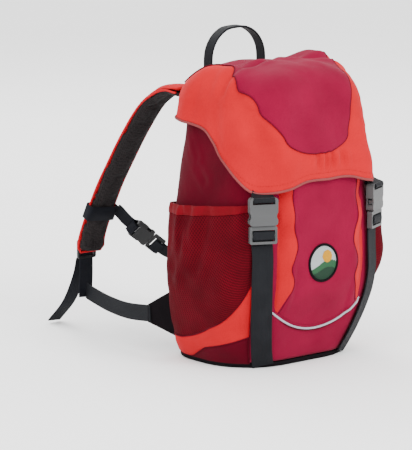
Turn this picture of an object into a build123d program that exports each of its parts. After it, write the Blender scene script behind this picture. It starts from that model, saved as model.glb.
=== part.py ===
from build123d import *
import os
from math import cos, hypot, radians, sin

# A small top-loading daypack. Millimetres. Z is up, and the bag stands on z = 0 with its base centred on
# the origin. The lid opens from the front, at -Y, and the shoulder straps are on the back, at +Y.
# "Left" is the wearer's left, at -X. Everything that comes in pairs is made on the left and mirrored.

os.makedirs("parts", exist_ok=True)

# Bag body
BAG_WIDTH = 218.0  # widest, about a third of the way up
BAG_DEPTH = 158.0  # deepest, back panel to front panel
BAG_HEIGHT = 314.0  # base to the top edge of the panels
BAG_CORNER = 45.0  # radius of the upright corners
FABRIC = 2.5  # a lined panel
TRIM = 2.0
TRIM_HEIGHT = 8.0
GAP = 0.3  # between soft pieces that only lie on each other

# Height, width and depth of the bag as shares of its largest size, from the base to the rim
PROFILE = [
    (0.00, 0.872, 0.886),
    (0.06, 0.936, 0.930),
    (0.16, 0.982, 0.975),
    (0.32, 1.000, 1.000),
    (0.48, 0.982, 1.000),
    (0.64, 0.927, 0.994),
    (0.80, 0.862, 0.949),
    (1.00, 0.798, 0.886),
]
BACK_SHARE = 0.35  # how much of the change in depth shows at the back

# Seams
FRONT_SEAM_Y = -58.0
BACK_SEAM_Y = 50.0
LOWER_SEAM_FRONT_Z = 112.0  # the seam under each side pocket falls towards the back
LOWER_SEAM_BACK_Z = 30.0

# Lid
LID_CLEAR = 2.0
LID_FABRIC = 2.5
LID_HEM_FRONT_Z = 211.0
LID_SKIRT_BACK_Y = 30.0
LID_SKIRT_BACK_Z = 250.0
LID_PANEL_HALF = 66.0
LID_DOME = [(0.0, 0.0), (8.0, 2.5), (18.0, 9.0), (26.0, 22.0), (31.0, 42.0)]  # rise, inset
HINGE_DROP = 2.0  # from the lid's back edge down to its seam
SEAM_ROD = 1.5
SEAM_HALF = 44.0  # the lid's seam runs between the shoulder straps

# Haul loop
HAUL_HALF = 42.0
HAUL_TOP_Z = BAG_HEIGHT + 68.0
HAUL_WEB = 15.0
HAUL_THICK = 2.5
HAUL_BEND = 38.0

# Front pocket
POCKET_HALF = 47.0
GUSSET_HALF = 66.0
POCKET_TOP_Z = 224.0
POCKET_SIDE_Z = 68.0
POCKET_LOW_Z = 42.0
POCKET_PROUD = 12.0
POCKET_PROUD_LOW = 5.0
POCKET_FABRIC = 1.8
PIPING = 4.0
BADGE_R = 21.0
BADGE_THICK = 1.2
BADGE_AT = (-4.0, 122.0)

# Side pockets
SIDE_TOP_Z = 189.0
SIDE_BAND = 11.0
SIDE_BULGE = 11.0
SIDE_NET = 1.6
SIDE_FRONT_Y = -55.0
SIDE_BACK_Y = 60.0

# Webbing
WEB = 1.6
FRONT_WEB = 25.0
HARNESS_WEB = 20.0
STRAP_ANGLE = 25.5  # how far the front straps face outwards
STRAP_STAND = 1.0  # from the bag's widest corner to the webbing line
STRAP_BEND_Z = 36.0
MOUTH_Z = 173.0  # where the two halves of a front buckle meet
BUCKLE_WEB = 25.0  # webbing that the buckle's own sizes below suit
FRONT_SCALE = FRONT_WEB / BUCKLE_WEB
STERNUM_SCALE = HARNESS_WEB / BUCKLE_WEB
BUCKLE_OUT = 4.5 * FRONT_SCALE + 1.7  # middle of the front buckles, out from the webbing line

# Shoulder straps: middle line of the left one, from the top down
SHOULDER_WIDTH = 45.0
SHOULDER_COVER = 1.5
SHOULDER_FOAM = 7.0
SHOULDER_LINE = [
    (-68, 77.5, 306),
    (-68, 112, 302),
    (-69, 140, 286),
    (-72, 167, 252),
    (-75, 191, 215),
    (-79, 213, 176),
    (-84, 236, 122),
    (-85, 240, 98),
]
WING_TIP = (-110.0, 97.0, 47.0)
WEB_FOLD = (-93.0, 238.0, 50.0)
TAIL_LINE = [(-86, 255, 86), (-88, 263, 60), (-91, 278, 30), (-95, 303, 5)]

# Back
BACK_PAD = (44.0, 7.0, 205.0)
BACK_PAD_X = 42.0
BACK_PAD_Z = 150.0
SHEET_THICK = 4.0
SHEET_ROUND_CORNER = 14.0  # how far the sheet reaches into each round back corner
SHEET_SHORT = 44.0  # less than the bag's height

# Collar
COLLAR_FABRIC = 1.5
COLLAR_LOW_Z = BAG_HEIGHT - 28.0
COLLAR_TOP_Z = BAG_HEIGHT + 8.0
EYELET_R = 3.0
EYELET_BARREL = 0.8
EYELET_FLANGE = 6.0
EYELET_RIM = 0.8
EYELET_DROP = 10.0
EYELET_FRONT_X = 18.0

# Sternum strap, in its own hanging plane: across, and down the sag
STERNUM_LEFT = [(-54, 3), (-49, 15), (-42.8, 26.2)]
STERNUM_RIGHT = [(-13.5, 63.0), (-4, 70), (9, 73), (24, 67), (38, 49), (48, 26), (54, 3)]
STERNUM_MOUTH = (-26.7, 46.4)

FAR = 400.0


def profile_at(z):
    """Width, depth and middle of the bag at a height."""
    share = min(max(z / BAG_HEIGHT, 0.0), 1.0)
    for (h0, w0, d0), (h1, w1, d1) in zip(PROFILE, PROFILE[1:]):
        if share <= h1:
            t = (share - h0) / (h1 - h0)
            break
    width = BAG_WIDTH * (w0 + t * (w1 - w0))
    depth = BAG_DEPTH * (d0 + t * (d1 - d0))
    middle = (BAG_DEPTH - depth) * (0.5 - BACK_SHARE)
    return width, depth, middle


def front_y(z):
    width, depth, middle = profile_at(z)
    return middle - depth / 2


def back_y(z):
    width, depth, middle = profile_at(z)
    return middle + depth / 2


def levels(low, high):
    inner = [h * BAG_HEIGHT for h, w, d in PROFILE if low < h * BAG_HEIGHT < high]
    return [low, *inner, high]


def bag_section(z, grow, inset=0.0, at=None):
    width, depth, middle = profile_at(z)
    size = 2 * (grow - inset)
    corner = max(BAG_CORNER + grow - inset, 6.0)
    section = RectangleRounded(width + size, depth + size, corner)
    return Pos(0, middle, z if at is None else at) * section


def bag_block(grow, low, high):
    """The bag's outer shape, grown by a distance, between two heights."""
    return loft([bag_section(z, grow) for z in levels(low, high)], ruled=True)


def block(x0, x1, y0, y1, z0, z1):
    size = Box(x1 - x0, y1 - y0, z1 - z0, align=(Align.MIN, Align.MIN, Align.MIN))
    return Pos(x0, y0, z0) * size


def side_prism(points, x0, x1):
    """A side-view outline of (y, z) points, carried across from x0 to x1."""
    face = make_face(Polyline([(x0, y, z) for y, z in points], close=True))
    return extrude(face, amount=x1 - x0, dir=(1, 0, 0))


def save(name, shape):
    solids = shape.solids()
    export_step(solids[0] if len(solids) == 1 else Compound(children=solids), f"parts/{name}.step")


def save_pair(name, shape):
    save(f"{name}_left", shape)
    save(f"{name}_right", mirror(shape, about=Plane.YZ))


def mitres(path):
    """A normal at each point of a bent line, lengthened so that offsets keep their distance."""
    steps = []
    for (a0, b0), (a1, b1) in zip(path, path[1:]):
        run = hypot(a1 - a0, b1 - b0)
        steps.append(((b1 - b0) / run, -(a1 - a0) / run))
    out = []
    for before, after in zip([steps[0], *steps], [*steps, steps[-1]]):
        scale = 1 + before[0] * after[0] + before[1] * after[1]
        out.append(((before[0] + after[0]) / scale, (before[1] + after[1]) / scale))
    return out


def ribbon(path, thick, width, plane):
    """Flat webbing: a bent line in a plane, with its thickness, and its width across the plane."""
    normals = mitres(path)
    half = thick / 2
    near = [(a + half * n, b + half * m) for (a, b), (n, m) in zip(path, normals)]
    far = [(a - half * n, b - half * m) for (a, b), (n, m) in zip(path, normals)]
    outline = make_face(Polyline([*near, *reversed(far)], close=True))
    return extrude(plane * outline, amount=width / 2, both=True)


def band(line, low, high, width):
    """One layer of a strap that drifts sideways as it runs: (x, y, z) points, and two offsets."""
    sections = []
    for (x, y, z), (n, m) in zip(line, mitres([(y, z) for x, y, z in line])):
        corners = [(-1, low), (1, low), (1, high), (-1, high)]
        points = [(x + side * width / 2, y + off * n, z + off * m) for side, off in corners]
        sections.append(make_face(Polyline(points, close=True)))
    return loft(sections, ruled=True)


# ---------------------------------------------------------------- bag body


def body_panels():
    walls = bag_block(0, FABRIC, BAG_HEIGHT) - bag_block(-FABRIC, FABRIC, BAG_HEIGHT)
    save("base_panel", bag_block(0, 0, FABRIC))
    save("front_panel", walls & block(-FAR, FAR, -FAR, FRONT_SEAM_Y, 0, FAR))
    save("back_panel", walls & block(-FAR, FAR, BACK_SEAM_Y, FAR, 0, FAR))
    side = walls & block(-FAR, 0, FRONT_SEAM_Y, BACK_SEAM_Y, 0, FAR)
    seam = [(FRONT_SEAM_Y, LOWER_SEAM_FRONT_Z), (BACK_SEAM_Y, LOWER_SEAM_BACK_Z)]
    below = side_prism([*seam, (BACK_SEAM_Y, 0), (FRONT_SEAM_Y, 0)], -FAR, 0)
    save_pair("side_upper", side - below)
    save_pair("side_lower", side & below)


def base_trim():
    save("base_trim", bag_block(TRIM, 0, TRIM_HEIGHT) - bag_block(0, 0, TRIM_HEIGHT))


def back_parts():
    deepest = BAG_HEIGHT * 0.4
    pad = Box(*BACK_PAD)
    pad = fillet(pad.edges().filter_by(Axis.Y), 18)
    outside = back_y(deepest) + GAP + BACK_PAD[1] / 2
    save_pair("back_pad", Pos(-BACK_PAD_X, outside, BACK_PAD_Z) * pad)
    wide = profile_at(0)[0] - 2 * (BAG_CORNER - SHEET_ROUND_CORNER)
    tall = BAG_HEIGHT - SHEET_SHORT
    sheet = fillet(Box(wide, SHEET_THICK, tall).edges().filter_by(Axis.Y), 15)
    inside = back_y(0) - FABRIC - GAP - 1 - SHEET_THICK / 2
    save("back_sheet", Pos(0, inside, FABRIC + 6 + tall / 2) * sheet)


def collar():
    width, depth, middle = profile_at(BAG_HEIGHT)
    inset = FABRIC + EYELET_RIM + GAP
    outer = (width - 2 * inset, depth - 2 * inset, BAG_CORNER - inset)
    ring = RectangleRounded(*outer) - RectangleRounded(
        outer[0] - 2 * COLLAR_FABRIC, outer[1] - 2 * COLLAR_FABRIC, outer[2] - COLLAR_FABRIC
    )
    tube = extrude(Pos(0, middle, COLLAR_LOW_Z) * ring, COLLAR_TOP_Z - COLLAR_LOW_Z)
    z = COLLAR_TOP_Z - EYELET_DROP
    skin = COLLAR_FABRIC / 2
    flat = outer[1] / 2 - outer[2] - EYELET_FLANGE - 2
    front = middle - outer[1] / 2 + skin
    places = [Pos(side * EYELET_FRONT_X, front, z) * Rot(90, 0, 0) for side in (-1, 1)]
    for side in (-1, 1):
        places += [Pos(side * (outer[0] / 2 - skin), middle + y, z) * Rot(0, 90, 0) for y in (-flat, flat)]
    eyelet = Cylinder(EYELET_R + EYELET_BARREL, COLLAR_FABRIC)
    for end in (-1, 1):
        eyelet += Pos(0, 0, end * (skin + EYELET_RIM / 2)) * Cylinder(EYELET_FLANGE, EYELET_RIM)
    eyelet -= Cylinder(EYELET_R, 10)
    for place in places:
        tube -= place * Cylinder(EYELET_R + EYELET_BARREL, 10)
    save("collar", tube)
    save("eyelets", Compound(children=[(place * eyelet).solids()[0] for place in places]))


# ---------------------------------------------------------------- front pocket


def pocket_block(grow):
    """The pocket's bulge, from inside the front panel out, grown by a distance."""
    heights = [0.0, POCKET_LOW_Z, *levels(POCKET_SIDE_Z + 20, POCKET_TOP_Z)[1:]]
    sections = []
    for z in heights:
        lift = min(max((z - POCKET_LOW_Z) / (POCKET_TOP_Z * 0.45), 0.0), 1.0)
        proud = POCKET_PROUD_LOW + lift * (POCKET_PROUD - POCKET_PROUD_LOW) + grow
        front = front_y(z)
        half, edge = POCKET_HALF + grow, GUSSET_HALF + grow
        points = [(-edge, front + 4), (-half, front - proud), (half, front - proud), (edge, front + 4)]
        sections.append(Pos(0, 0, z) * make_face(Polyline(points, close=True)))
    return loft(sections, ruled=True)


def above_curve(drop):
    """Everything in front of the bag above the pocket's curved lower edge, lowered by a distance."""
    ends = [(-GUSSET_HALF - 30, POCKET_SIDE_Z + 18 - drop), (GUSSET_HALF + 30, POCKET_SIDE_Z + 18 - drop)]
    arc = ThreePointArc(ends[0], (0, POCKET_LOW_Z - drop), ends[1])
    sides = Polyline([ends[0], (ends[0][0], FAR), (ends[1][0], FAR), ends[1]])
    face = make_face(Curve() + [arc, sides])
    return extrude(Plane.XZ * face, amount=FAR)


def front_pocket():
    bag = bag_block(0, 0, BAG_HEIGHT)
    outer = pocket_block(0) & above_curve(0)
    inner = pocket_block(-POCKET_FABRIC) & above_curve(-POCKET_FABRIC)
    shell = outer - inner - block(-FAR, FAR, -FAR, FAR, POCKET_TOP_Z, FAR) - bag
    save("pocket_panel", shell & block(-POCKET_HALF, POCKET_HALF, -FAR, 0, 0, FAR))
    gussets = [shell & block(-FAR, -POCKET_HALF, -FAR, 0, 0, FAR)]
    gussets.append(mirror(gussets[0], about=Plane.YZ))
    save("pocket_gussets", Compound(children=[s for g in gussets for s in g.solids()]))
    strip = above_curve(PIPING) - above_curve(0)
    strip &= block(-GUSSET_HALF, GUSSET_HALF, front_y(POCKET_LOW_Z) - 5, 0, 0, FAR)
    save("pocket_piping", strip - bag)
    x, z = BADGE_AT
    disc = Pos(x, -FAR / 4, z) * Rot(90, 0, 0) * Cylinder(BADGE_R, FAR / 2)
    patch = (disc & pocket_block(BADGE_THICK)) - pocket_block(0)
    save("badge", patch - block(-FAR, FAR, FRONT_SEAM_Y, FAR, 0, FAR))


# ---------------------------------------------------------------- side pockets


def side_bulge(reduce):
    """The left pocket's bulge: an arc from seam to seam, standing off the bag's side."""
    sections = []
    for z in levels(LOWER_SEAM_BACK_Z - 10, SIDE_TOP_Z):
        wall = -profile_at(z)[0] / 2
        rise = min((z - LOWER_SEAM_BACK_Z + 10) / 70, 1.0)
        out = 2.5 + (SIDE_BULGE - 2.5) * rise - reduce
        start, end = (wall + 8, SIDE_FRONT_Y + reduce), (wall + 8, SIDE_BACK_Y - reduce)
        arc = ThreePointArc(start, (wall - out, (SIDE_FRONT_Y + SIDE_BACK_Y) / 2), end)
        sections.append(Pos(0, 0, z) * make_face(Curve() + [arc, Line(end, start)]))
    return loft(sections, ruled=True)


def side_pocket():
    bag = bag_block(0, 0, BAG_HEIGHT)
    slope = (LOWER_SEAM_BACK_Z - LOWER_SEAM_FRONT_Z) / (BACK_SEAM_Y - FRONT_SEAM_Y)

    def seam(y, up):
        return (y, LOWER_SEAM_FRONT_Z + slope * (y - FRONT_SEAM_Y) + up)

    def over(up):
        return side_prism([seam(-FAR / 4, up), seam(FAR / 4, up), (FAR / 4, FAR), (-FAR / 4, FAR)], -FAR, 0)

    shell = (side_bulge(0) & over(0)) - (side_bulge(SIDE_NET) & over(SIDE_NET)) - bag
    low_band = SIDE_TOP_Z - SIDE_BAND
    save_pair("side_pocket", shell & block(-FAR, 0, -FAR, FAR, 0, low_band))
    hem = shell & block(-FAR, 0, -FAR, FAR, low_band, FAR)
    hems = [*hem.solids(), *mirror(hem, about=Plane.YZ).solids()]
    save("pocket_bands", Compound(children=hems))


# ---------------------------------------------------------------- lid

HINGE_Z = BAG_HEIGHT + 1.5
HINGE_Y = back_y(BAG_HEIGHT) + LID_CLEAR + LID_FABRIC + GAP


def lid_block(grow):
    """The lid's outer shape, grown from the bag: skirt, pocket cover and dome."""
    skirt = bag_block(grow, LID_HEM_FRONT_Z - 20, BAG_HEIGHT)
    tiers = [bag_section(BAG_HEIGHT, grow, inset, BAG_HEIGHT + rise) for rise, inset in dome_steps(grow)]
    dome = loft(tiers, ruled=True)
    pocket = pocket_block(grow) & block(-FAR, FAR, -FAR, 0, LID_HEM_FRONT_Z - 20, FAR)
    top = pocket.faces().sort_by(Axis.Z)[-1]
    return skirt + dome + pocket + extrude(top, amount=grow)


def dome_steps(grow):
    drop = LID_CLEAR + LID_FABRIC - grow
    return [(max(rise - drop * (rise > 0), rise * 0.5), inset) for rise, inset in LID_DOME]


def lid_reach():
    """Side view of what the lid covers. The skirt stops short of the bag's round back corners."""
    low = HINGE_Z + HINGE_DROP
    return side_prism(
        [
            (-FAR / 2, LID_HEM_FRONT_Z),
            (FRONT_SEAM_Y, LID_HEM_FRONT_Z),
            (-12, LID_HEM_FRONT_Z + 14),
            (LID_SKIRT_BACK_Y, LID_SKIRT_BACK_Z),
            (LID_SKIRT_BACK_Y + 3, low),
            (HINGE_Y - 0.2, low),
            (HINGE_Y - 0.2, FAR),
            (-FAR / 2, FAR),
        ],
        -FAR,
        FAR,
    )


def lid_parts():
    outer, inner = lid_block(LID_CLEAR + LID_FABRIC), lid_block(LID_CLEAR)
    shell = (outer - inner) & lid_reach()
    half = LID_PANEL_HALF
    middle = block(-half, half, -FAR, FAR, LID_HEM_FRONT_Z + 38, FAR)
    save("lid_panel", shell & middle)
    save("lid_cover", shell - middle)
    rod = Pos(0, HINGE_Y, HINGE_Z) * Rot(0, 90, 0) * Cylinder(SEAM_ROD, 2 * SEAM_HALF)
    low = HINGE_Z - 14
    flap = side_prism(
        [
            (HINGE_Y - 0.8, HINGE_Z),
            (back_y(low) + 0.2, low),
            (back_y(low) + 1.6, low),
            (HINGE_Y + 0.8, HINGE_Z),
        ],
        -SEAM_HALF,
        SEAM_HALF,
    )
    save("lid_seam", rod + flap)


def haul_loop():
    top = HAUL_TOP_Z - BAG_HEIGHT
    outer = RectangleRounded(2 * HAUL_HALF, 2 * top, HAUL_BEND)
    inner = RectangleRounded(2 * (HAUL_HALF - HAUL_THICK), 2 * (top - HAUL_THICK), HAUL_BEND - HAUL_THICK)
    back = HINGE_Y - 1.0
    ring = extrude(Plane.XZ * (outer - inner), amount=HAUL_WEB)
    arch = Pos(0, back, BAG_HEIGHT) * ring & block(-FAR, FAR, -FAR, FAR, BAG_HEIGHT, FAR)
    save("haul_loop", arch - lid_block(LID_CLEAR + LID_FABRIC + GAP + 0.2))


# ---------------------------------------------------------------- buckles


def box_uv(width, low, high, thick, across=0.0):
    return Pos(across, (low + high) / 2, 0) * Box(width, high - low, thick)


def female_half(k):
    """Socket half, for webbing k times 25 mm wide. Its mouth is at v = 0 and it reaches up."""
    body = box_uv(33 * k, 0, 32 * k, 9 * k)
    body = fillet(body.edges().filter_by(Axis.Z), 4 * k)
    body -= box_uv(27.4 * k, -1, 18 * k, 5.6 * k)
    body -= box_uv(40 * k, 7 * k, 14.6 * k, 5.6 * k)
    body -= box_uv(26 * k, 24.4 * k, 29 * k, 20)
    waist = Pos(0, 10.8 * k, 0) * Cylinder(6.5 * k, 20)
    for side in (-1, 1):
        body -= Pos(side * 21.5 * k, 0, 0) * waist
    return body


def male_half(k):
    """Ladder half with its centre guide. It reaches down from v = 0."""
    base = box_uv(32 * k, -21 * k, -0.6, 6 * k)
    base = fillet(base.edges().filter_by(Axis.Z), 2.5 * k)
    for low in (-9.6, -18):
        base -= box_uv(26.4 * k, low * k, (low + 4.6) * k, 20)
    return base + box_uv(5 * k, -1, 15 * k, 3 * k)


def prong(k, side):
    """One springy arm. Its tip fills the socket's window and rounds inwards."""
    inner, outer = 8.2 * k, 13.3 * k
    arm = [(inner, 0), (12.2 * k, 0), (12.2 * k, 6 * k)]
    tip = [(outer, 8 * k), (outer, 12 * k), (9.6 * k, 14.4 * k), (inner, 13 * k)]
    face = make_face(Polyline([(side * u, v) for u, v in [*arm, *tip]], close=True))
    return extrude(face, amount=2.3 * k, both=True)


def strap_frame():
    """Plane of the left front strap: x across the webbing, y up, z out from the bag."""
    s, c = sin(radians(STRAP_ANGLE)), cos(radians(STRAP_ANGLE))
    width, depth, middle = profile_at(BAG_HEIGHT * 0.32)
    reach = BAG_CORNER + STRAP_STAND
    x = -(width / 2 - BAG_CORNER) - s * reach
    y = middle - (depth / 2 - BAG_CORNER) - c * reach
    return Plane(origin=(x, y, 0), x_dir=(c, -s, 0), z_dir=(-s, -c, 0))


def strap_section():
    """The same strap seen from its edge: x out from the bag, y up."""
    face = strap_frame()
    return Plane(origin=face.origin, x_dir=face.z_dir, z_dir=-face.x_dir)


def front_straps():
    face, edge = strap_frame(), strap_section()
    at = face * Pos(0, MOUTH_Z, BUCKLE_OUT)
    k = FRONT_SCALE
    save_pair("front_female", at * female_half(k))
    save_pair("front_male", at * male_half(k))
    for letter, side in (("a", -1), ("b", 1)):
        save_pair(f"front_prong_{letter}", at * prong(k, side))
    out = BUCKLE_OUT
    back = out - 3 * k - WEB / 2 - 0.2
    fore = out + 3 * k + WEB / 2 + 0.2
    upper, lower = MOUTH_Z - 7.3 * k, MOUTH_Z - 15.7 * k
    end = MOUTH_Z - 22 * k
    loop = [(back, end), (back, upper), (fore, upper), (fore, lower), (out, lower)]
    save_pair("front_loop", ribbon(loop, WEB, FRONT_WEB, edge))
    width, depth, middle = profile_at(0)
    seat = face.to_local_coords(Vector(-(width / 2 - BAG_CORNER), middle - depth / 2 + BAG_CORNER, 0)).Z
    foot = seat + BAG_CORNER + TRIM + 1.6 * WEB
    run = [(back, end - GAP), (back, STRAP_BEND_Z), (foot, 3)]
    save_pair("front_webbing", ribbon(run, WEB, FRONT_WEB, edge))
    slot = MOUTH_Z + 26.7 * k
    front = out + 4.5 * k + WEB / 2 + 0.3
    behind = [(-0.4, slot + 36), (-0.4, slot), (front, slot)]
    before = [(front, slot + 7.4), (1.5, slot + 16), (1.5, slot + 34)]
    save_pair("lid_tab", ribbon([*behind, *before], WEB, FRONT_WEB, edge))


# ---------------------------------------------------------------- shoulder harness

STRAP_HALF = SHOULDER_FOAM / 2 + SHOULDER_COVER
STRAP_END = SHOULDER_LINE[-1]


def shoulder_straps():
    foam = SHOULDER_FOAM / 2
    save_pair("strap_cover", band(SHOULDER_LINE, -STRAP_HALF, -foam, SHOULDER_WIDTH))
    save_pair("strap_foam", band(SHOULDER_LINE, -foam, foam, SHOULDER_WIDTH))
    save_pair("strap_lining", band(SHOULDER_LINE, foam, STRAP_HALF, SHOULDER_WIDTH))
    x, y, z = STRAP_END
    plate = Box(27, 3.5, 24)
    plate = fillet(plate.edges().filter_by(Axis.Y), 3)
    for rise in (-6.4, 3.2):
        plate -= Pos(0, 0, rise) * Box(21, 10, 4.4)
    save_pair("ladder_lock", Pos(x, y + STRAP_HALF + 3.2, z + 2) * plate)
    save_pair("strap_tail", band(TAIL_LINE, -WEB / 2, WEB / 2, HARNESS_WEB))


def lower_harness():
    bag = bag_block(0, 0, BAG_HEIGHT)
    x, y, z = WING_TIP
    root = (x + 30, y - 54)
    points = [(*root, z + 30), (*root, z - 26), (x, y, z - HARNESS_WEB / 2), (x, y, z + HARNESS_WEB / 2)]
    outline = make_face(Polyline(points, close=True))
    save_pair("wing", extrude(outline, amount=WEB / 2, both=True) - bag)
    fx, fy, fz = WEB_FOLD
    start = Vector(x + 0.2, y + 1.5, z)
    half = HARNESS_WEB / 2

    def upright(px, py, pz):
        corners = [(-WEB / 2, -half), (WEB / 2, -half), (WEB / 2, half), (-WEB / 2, half)]
        return make_face(Polyline([(px + a, py, pz + b) for a, b in corners], close=True))

    level = loft([upright(start.X, start.Y, start.Z), upright(fx, fy, fz)], ruled=True)
    sx, sy, sz = STRAP_END
    rise = [(fx, fy - 0.8, fz - 4), (sx, sy + STRAP_HALF + 3.2, sz - 11)]
    save_pair("lower_webbing", level + band(rise, -WEB / 2, WEB / 2, HARNESS_WEB))


def sternum_strap():
    (x0, y0, z0), (x1, y1, z1) = SHOULDER_LINE[-3:-1]
    middle = Vector((x0 + x1) / 2, (y0 + y1) / 2, (z0 + z1) / 2)
    along = Vector(x1 - x0, y1 - y0, z1 - z0).normalized()
    frame = Plane(origin=middle, x_dir=Vector(1, 0, 0) - along * along.X, z_dir=along)
    clear = 1.4
    hole = Rectangle(SHOULDER_WIDTH + 2 * clear, 2 * (STRAP_HALF + clear))
    ring = Rectangle(SHOULDER_WIDTH + 2 * clear + 4, 2 * (STRAP_HALF + clear) + 3) - hole
    keeper = extrude(frame * ring, amount=HARNESS_WEB / 2, both=True)
    save("sternum_keepers", Compound(children=[*keeper.solids(), *mirror(keeper, about=Plane.YZ).solids()]))
    sag = Vector(0, -0.6, -0.8)
    plane = Plane(origin=(0, middle.Y, middle.Z), x_dir=(1, 0, 0), z_dir=Vector(1, 0, 0).cross(sag))
    save("sternum_web_left", ribbon(STERNUM_LEFT, WEB, HARNESS_WEB, plane))
    save("sternum_web_right", ribbon(STERNUM_RIGHT, WEB, HARNESS_WEB, plane))
    (a0, b0), (a1, b1) = STERNUM_LEFT[-1], STERNUM_RIGHT[0]
    up = plane.x_dir * (a0 - a1) + plane.y_dir * (b0 - b1)
    mouth = plane.from_local_coords(Vector(*STERNUM_MOUTH, 0))
    seat = Plane(origin=mouth, x_dir=plane.z_dir, z_dir=plane.z_dir.cross(up))
    k = STERNUM_SCALE
    save("sternum_female", seat * female_half(k))
    save("sternum_male", seat * male_half(k))
    for letter, side in (("a", -1), ("b", 1)):
        save(f"sternum_prong_{letter}", seat * prong(k, side))


body_panels()
base_trim()
back_parts()
collar()
front_pocket()
side_pocket()
lid_parts()
haul_loop()
front_straps()
shoulder_straps()
lower_harness()
sternum_strap()
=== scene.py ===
import math

import bmesh
import bpy
from mathutils import Matrix, Vector, noise
from mathutils.bvhtree import BVHTree


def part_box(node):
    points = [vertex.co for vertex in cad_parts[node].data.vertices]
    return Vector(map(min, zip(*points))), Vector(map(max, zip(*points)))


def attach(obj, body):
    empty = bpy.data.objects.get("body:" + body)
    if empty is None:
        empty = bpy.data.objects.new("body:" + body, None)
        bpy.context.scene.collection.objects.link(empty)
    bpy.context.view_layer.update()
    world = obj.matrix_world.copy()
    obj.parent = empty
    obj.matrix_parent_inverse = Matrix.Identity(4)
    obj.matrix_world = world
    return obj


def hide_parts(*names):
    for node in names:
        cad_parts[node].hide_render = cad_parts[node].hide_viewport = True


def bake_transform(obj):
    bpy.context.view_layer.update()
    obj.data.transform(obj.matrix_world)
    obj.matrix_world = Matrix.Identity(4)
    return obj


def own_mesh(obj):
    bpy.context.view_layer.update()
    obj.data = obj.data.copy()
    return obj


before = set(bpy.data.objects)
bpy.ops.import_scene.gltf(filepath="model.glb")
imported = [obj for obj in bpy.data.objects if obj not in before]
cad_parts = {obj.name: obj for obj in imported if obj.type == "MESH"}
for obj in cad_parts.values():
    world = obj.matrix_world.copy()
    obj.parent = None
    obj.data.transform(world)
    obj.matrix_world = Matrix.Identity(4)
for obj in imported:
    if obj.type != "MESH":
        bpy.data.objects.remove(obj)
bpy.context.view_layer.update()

MM = 0.001
SIDES = (("left", -1), ("right", 1))

# Sizes of the bag, from the CAD
BAG_WIDTH = -2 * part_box("side_upper_left")[0].x
BAG_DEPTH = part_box("back_panel")[1].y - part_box("front_panel")[0].y
BAG_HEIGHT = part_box("front_panel")[1].z
CORNER = 45 * MM
PROFILE = [
    (0.00, 0.872, 0.886),
    (0.06, 0.936, 0.930),
    (0.16, 0.982, 0.975),
    (0.32, 1.000, 1.000),
    (0.48, 0.982, 1.000),
    (0.64, 0.927, 0.994),
    (0.80, 0.862, 0.949),
    (1.00, 0.798, 0.886),
]
BACK_SHARE = 0.35
FOOT_HEIGHT = 105 * MM  # below this the filled bag hangs back towards the wearer
FOOT_BACK = 9.5 * MM
FOOT_SHORTER = 5 * MM
FOOT_ROUND = 20 * MM  # and its front corners are rounder
STRAP_ANGLE = math.radians(25.5)


# ---------------------------------------------------------------- small maths


def blend_between(a, b, t):
    return a + (b - a) * t


def smooth(t):
    t = min(max(t, 0.0), 1.0)
    return t * t * (3 - 2 * t)


def curve_through(knots, x):
    """A smooth value at x through (x, value) knots."""
    if x <= knots[0][0]:
        return knots[0][1]
    for i, ((x0, v0), (x1, v1)) in enumerate(zip(knots, knots[1:])):
        if x <= x1:
            before = knots[i - 1] if i else knots[i]
            after = knots[i + 2] if i + 2 < len(knots) else knots[i + 1]
            slope0 = (v1 - before[1]) / (x1 - before[0])
            slope1 = (after[1] - v0) / (after[0] - x0)
            run = x1 - x0
            t = (x - x0) / run
            h01 = t * t * (3 - 2 * t)
            return (1 - h01) * v0 + h01 * v1 + t * (1 - t) * run * ((1 - t) * slope0 - t * slope1)
    return knots[-1][1]


def line_through(points, count):
    """Evenly numbered points on a smooth line through a few chosen ones."""
    points = [Vector(p) for p in points]
    ext = [2 * points[0] - points[1], *points, 2 * points[-1] - points[-2]]
    out = []
    spans = len(points) - 1
    for k in range(count):
        at = k / (count - 1) * spans
        i = min(int(at), spans - 1)
        t = at - i
        a, b, c, d = ext[i : i + 4]
        square = (2 * a - 5 * b + 4 * c - d) * t * t
        cube = (3 * b - a - 3 * c + d) * t ** 3
        out.append(0.5 * (2 * b + (c - a) * t + square + cube))
    return out


def crease(p, a, b, depth, width):
    """A fold along the line a to b: a valley with a low ridge each side. Positive depth sinks."""
    a, b = Vector(a), Vector(b)
    run = b - a
    t = min(max((p - a).dot(run) / run.length_squared, 0.0), 1.0)
    far = (p - a - run * t).length / width
    return depth * (0.55 * math.exp(-((far - 1.7) ** 2)) - math.exp(-far * far))


def rumple(p, size, height, seed=0.0):
    """Soft random unevenness of the cloth, the same on each run."""
    return noise.noise(p / size + Vector((seed, 1.7 * seed, 5.1))) * height


# ---------------------------------------------------------------- the bag's shape


def profile_at(z):
    share = min(max(z / BAG_HEIGHT, 0.0), 1.0)
    width = curve_through([(h, w) for h, w, d in PROFILE], share) * BAG_WIDTH
    depth = curve_through([(h, d) for h, w, d in PROFILE], share) * BAG_DEPTH
    middle = (BAG_DEPTH - depth) * (0.5 - BACK_SHARE)
    foot = 1 - smooth(z / FOOT_HEIGHT)
    return width, depth - FOOT_SHORTER * foot, middle + FOOT_BACK * foot


def front_corner(z):
    return CORNER + FOOT_ROUND * (1 - smooth(z / FOOT_HEIGHT))


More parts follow.
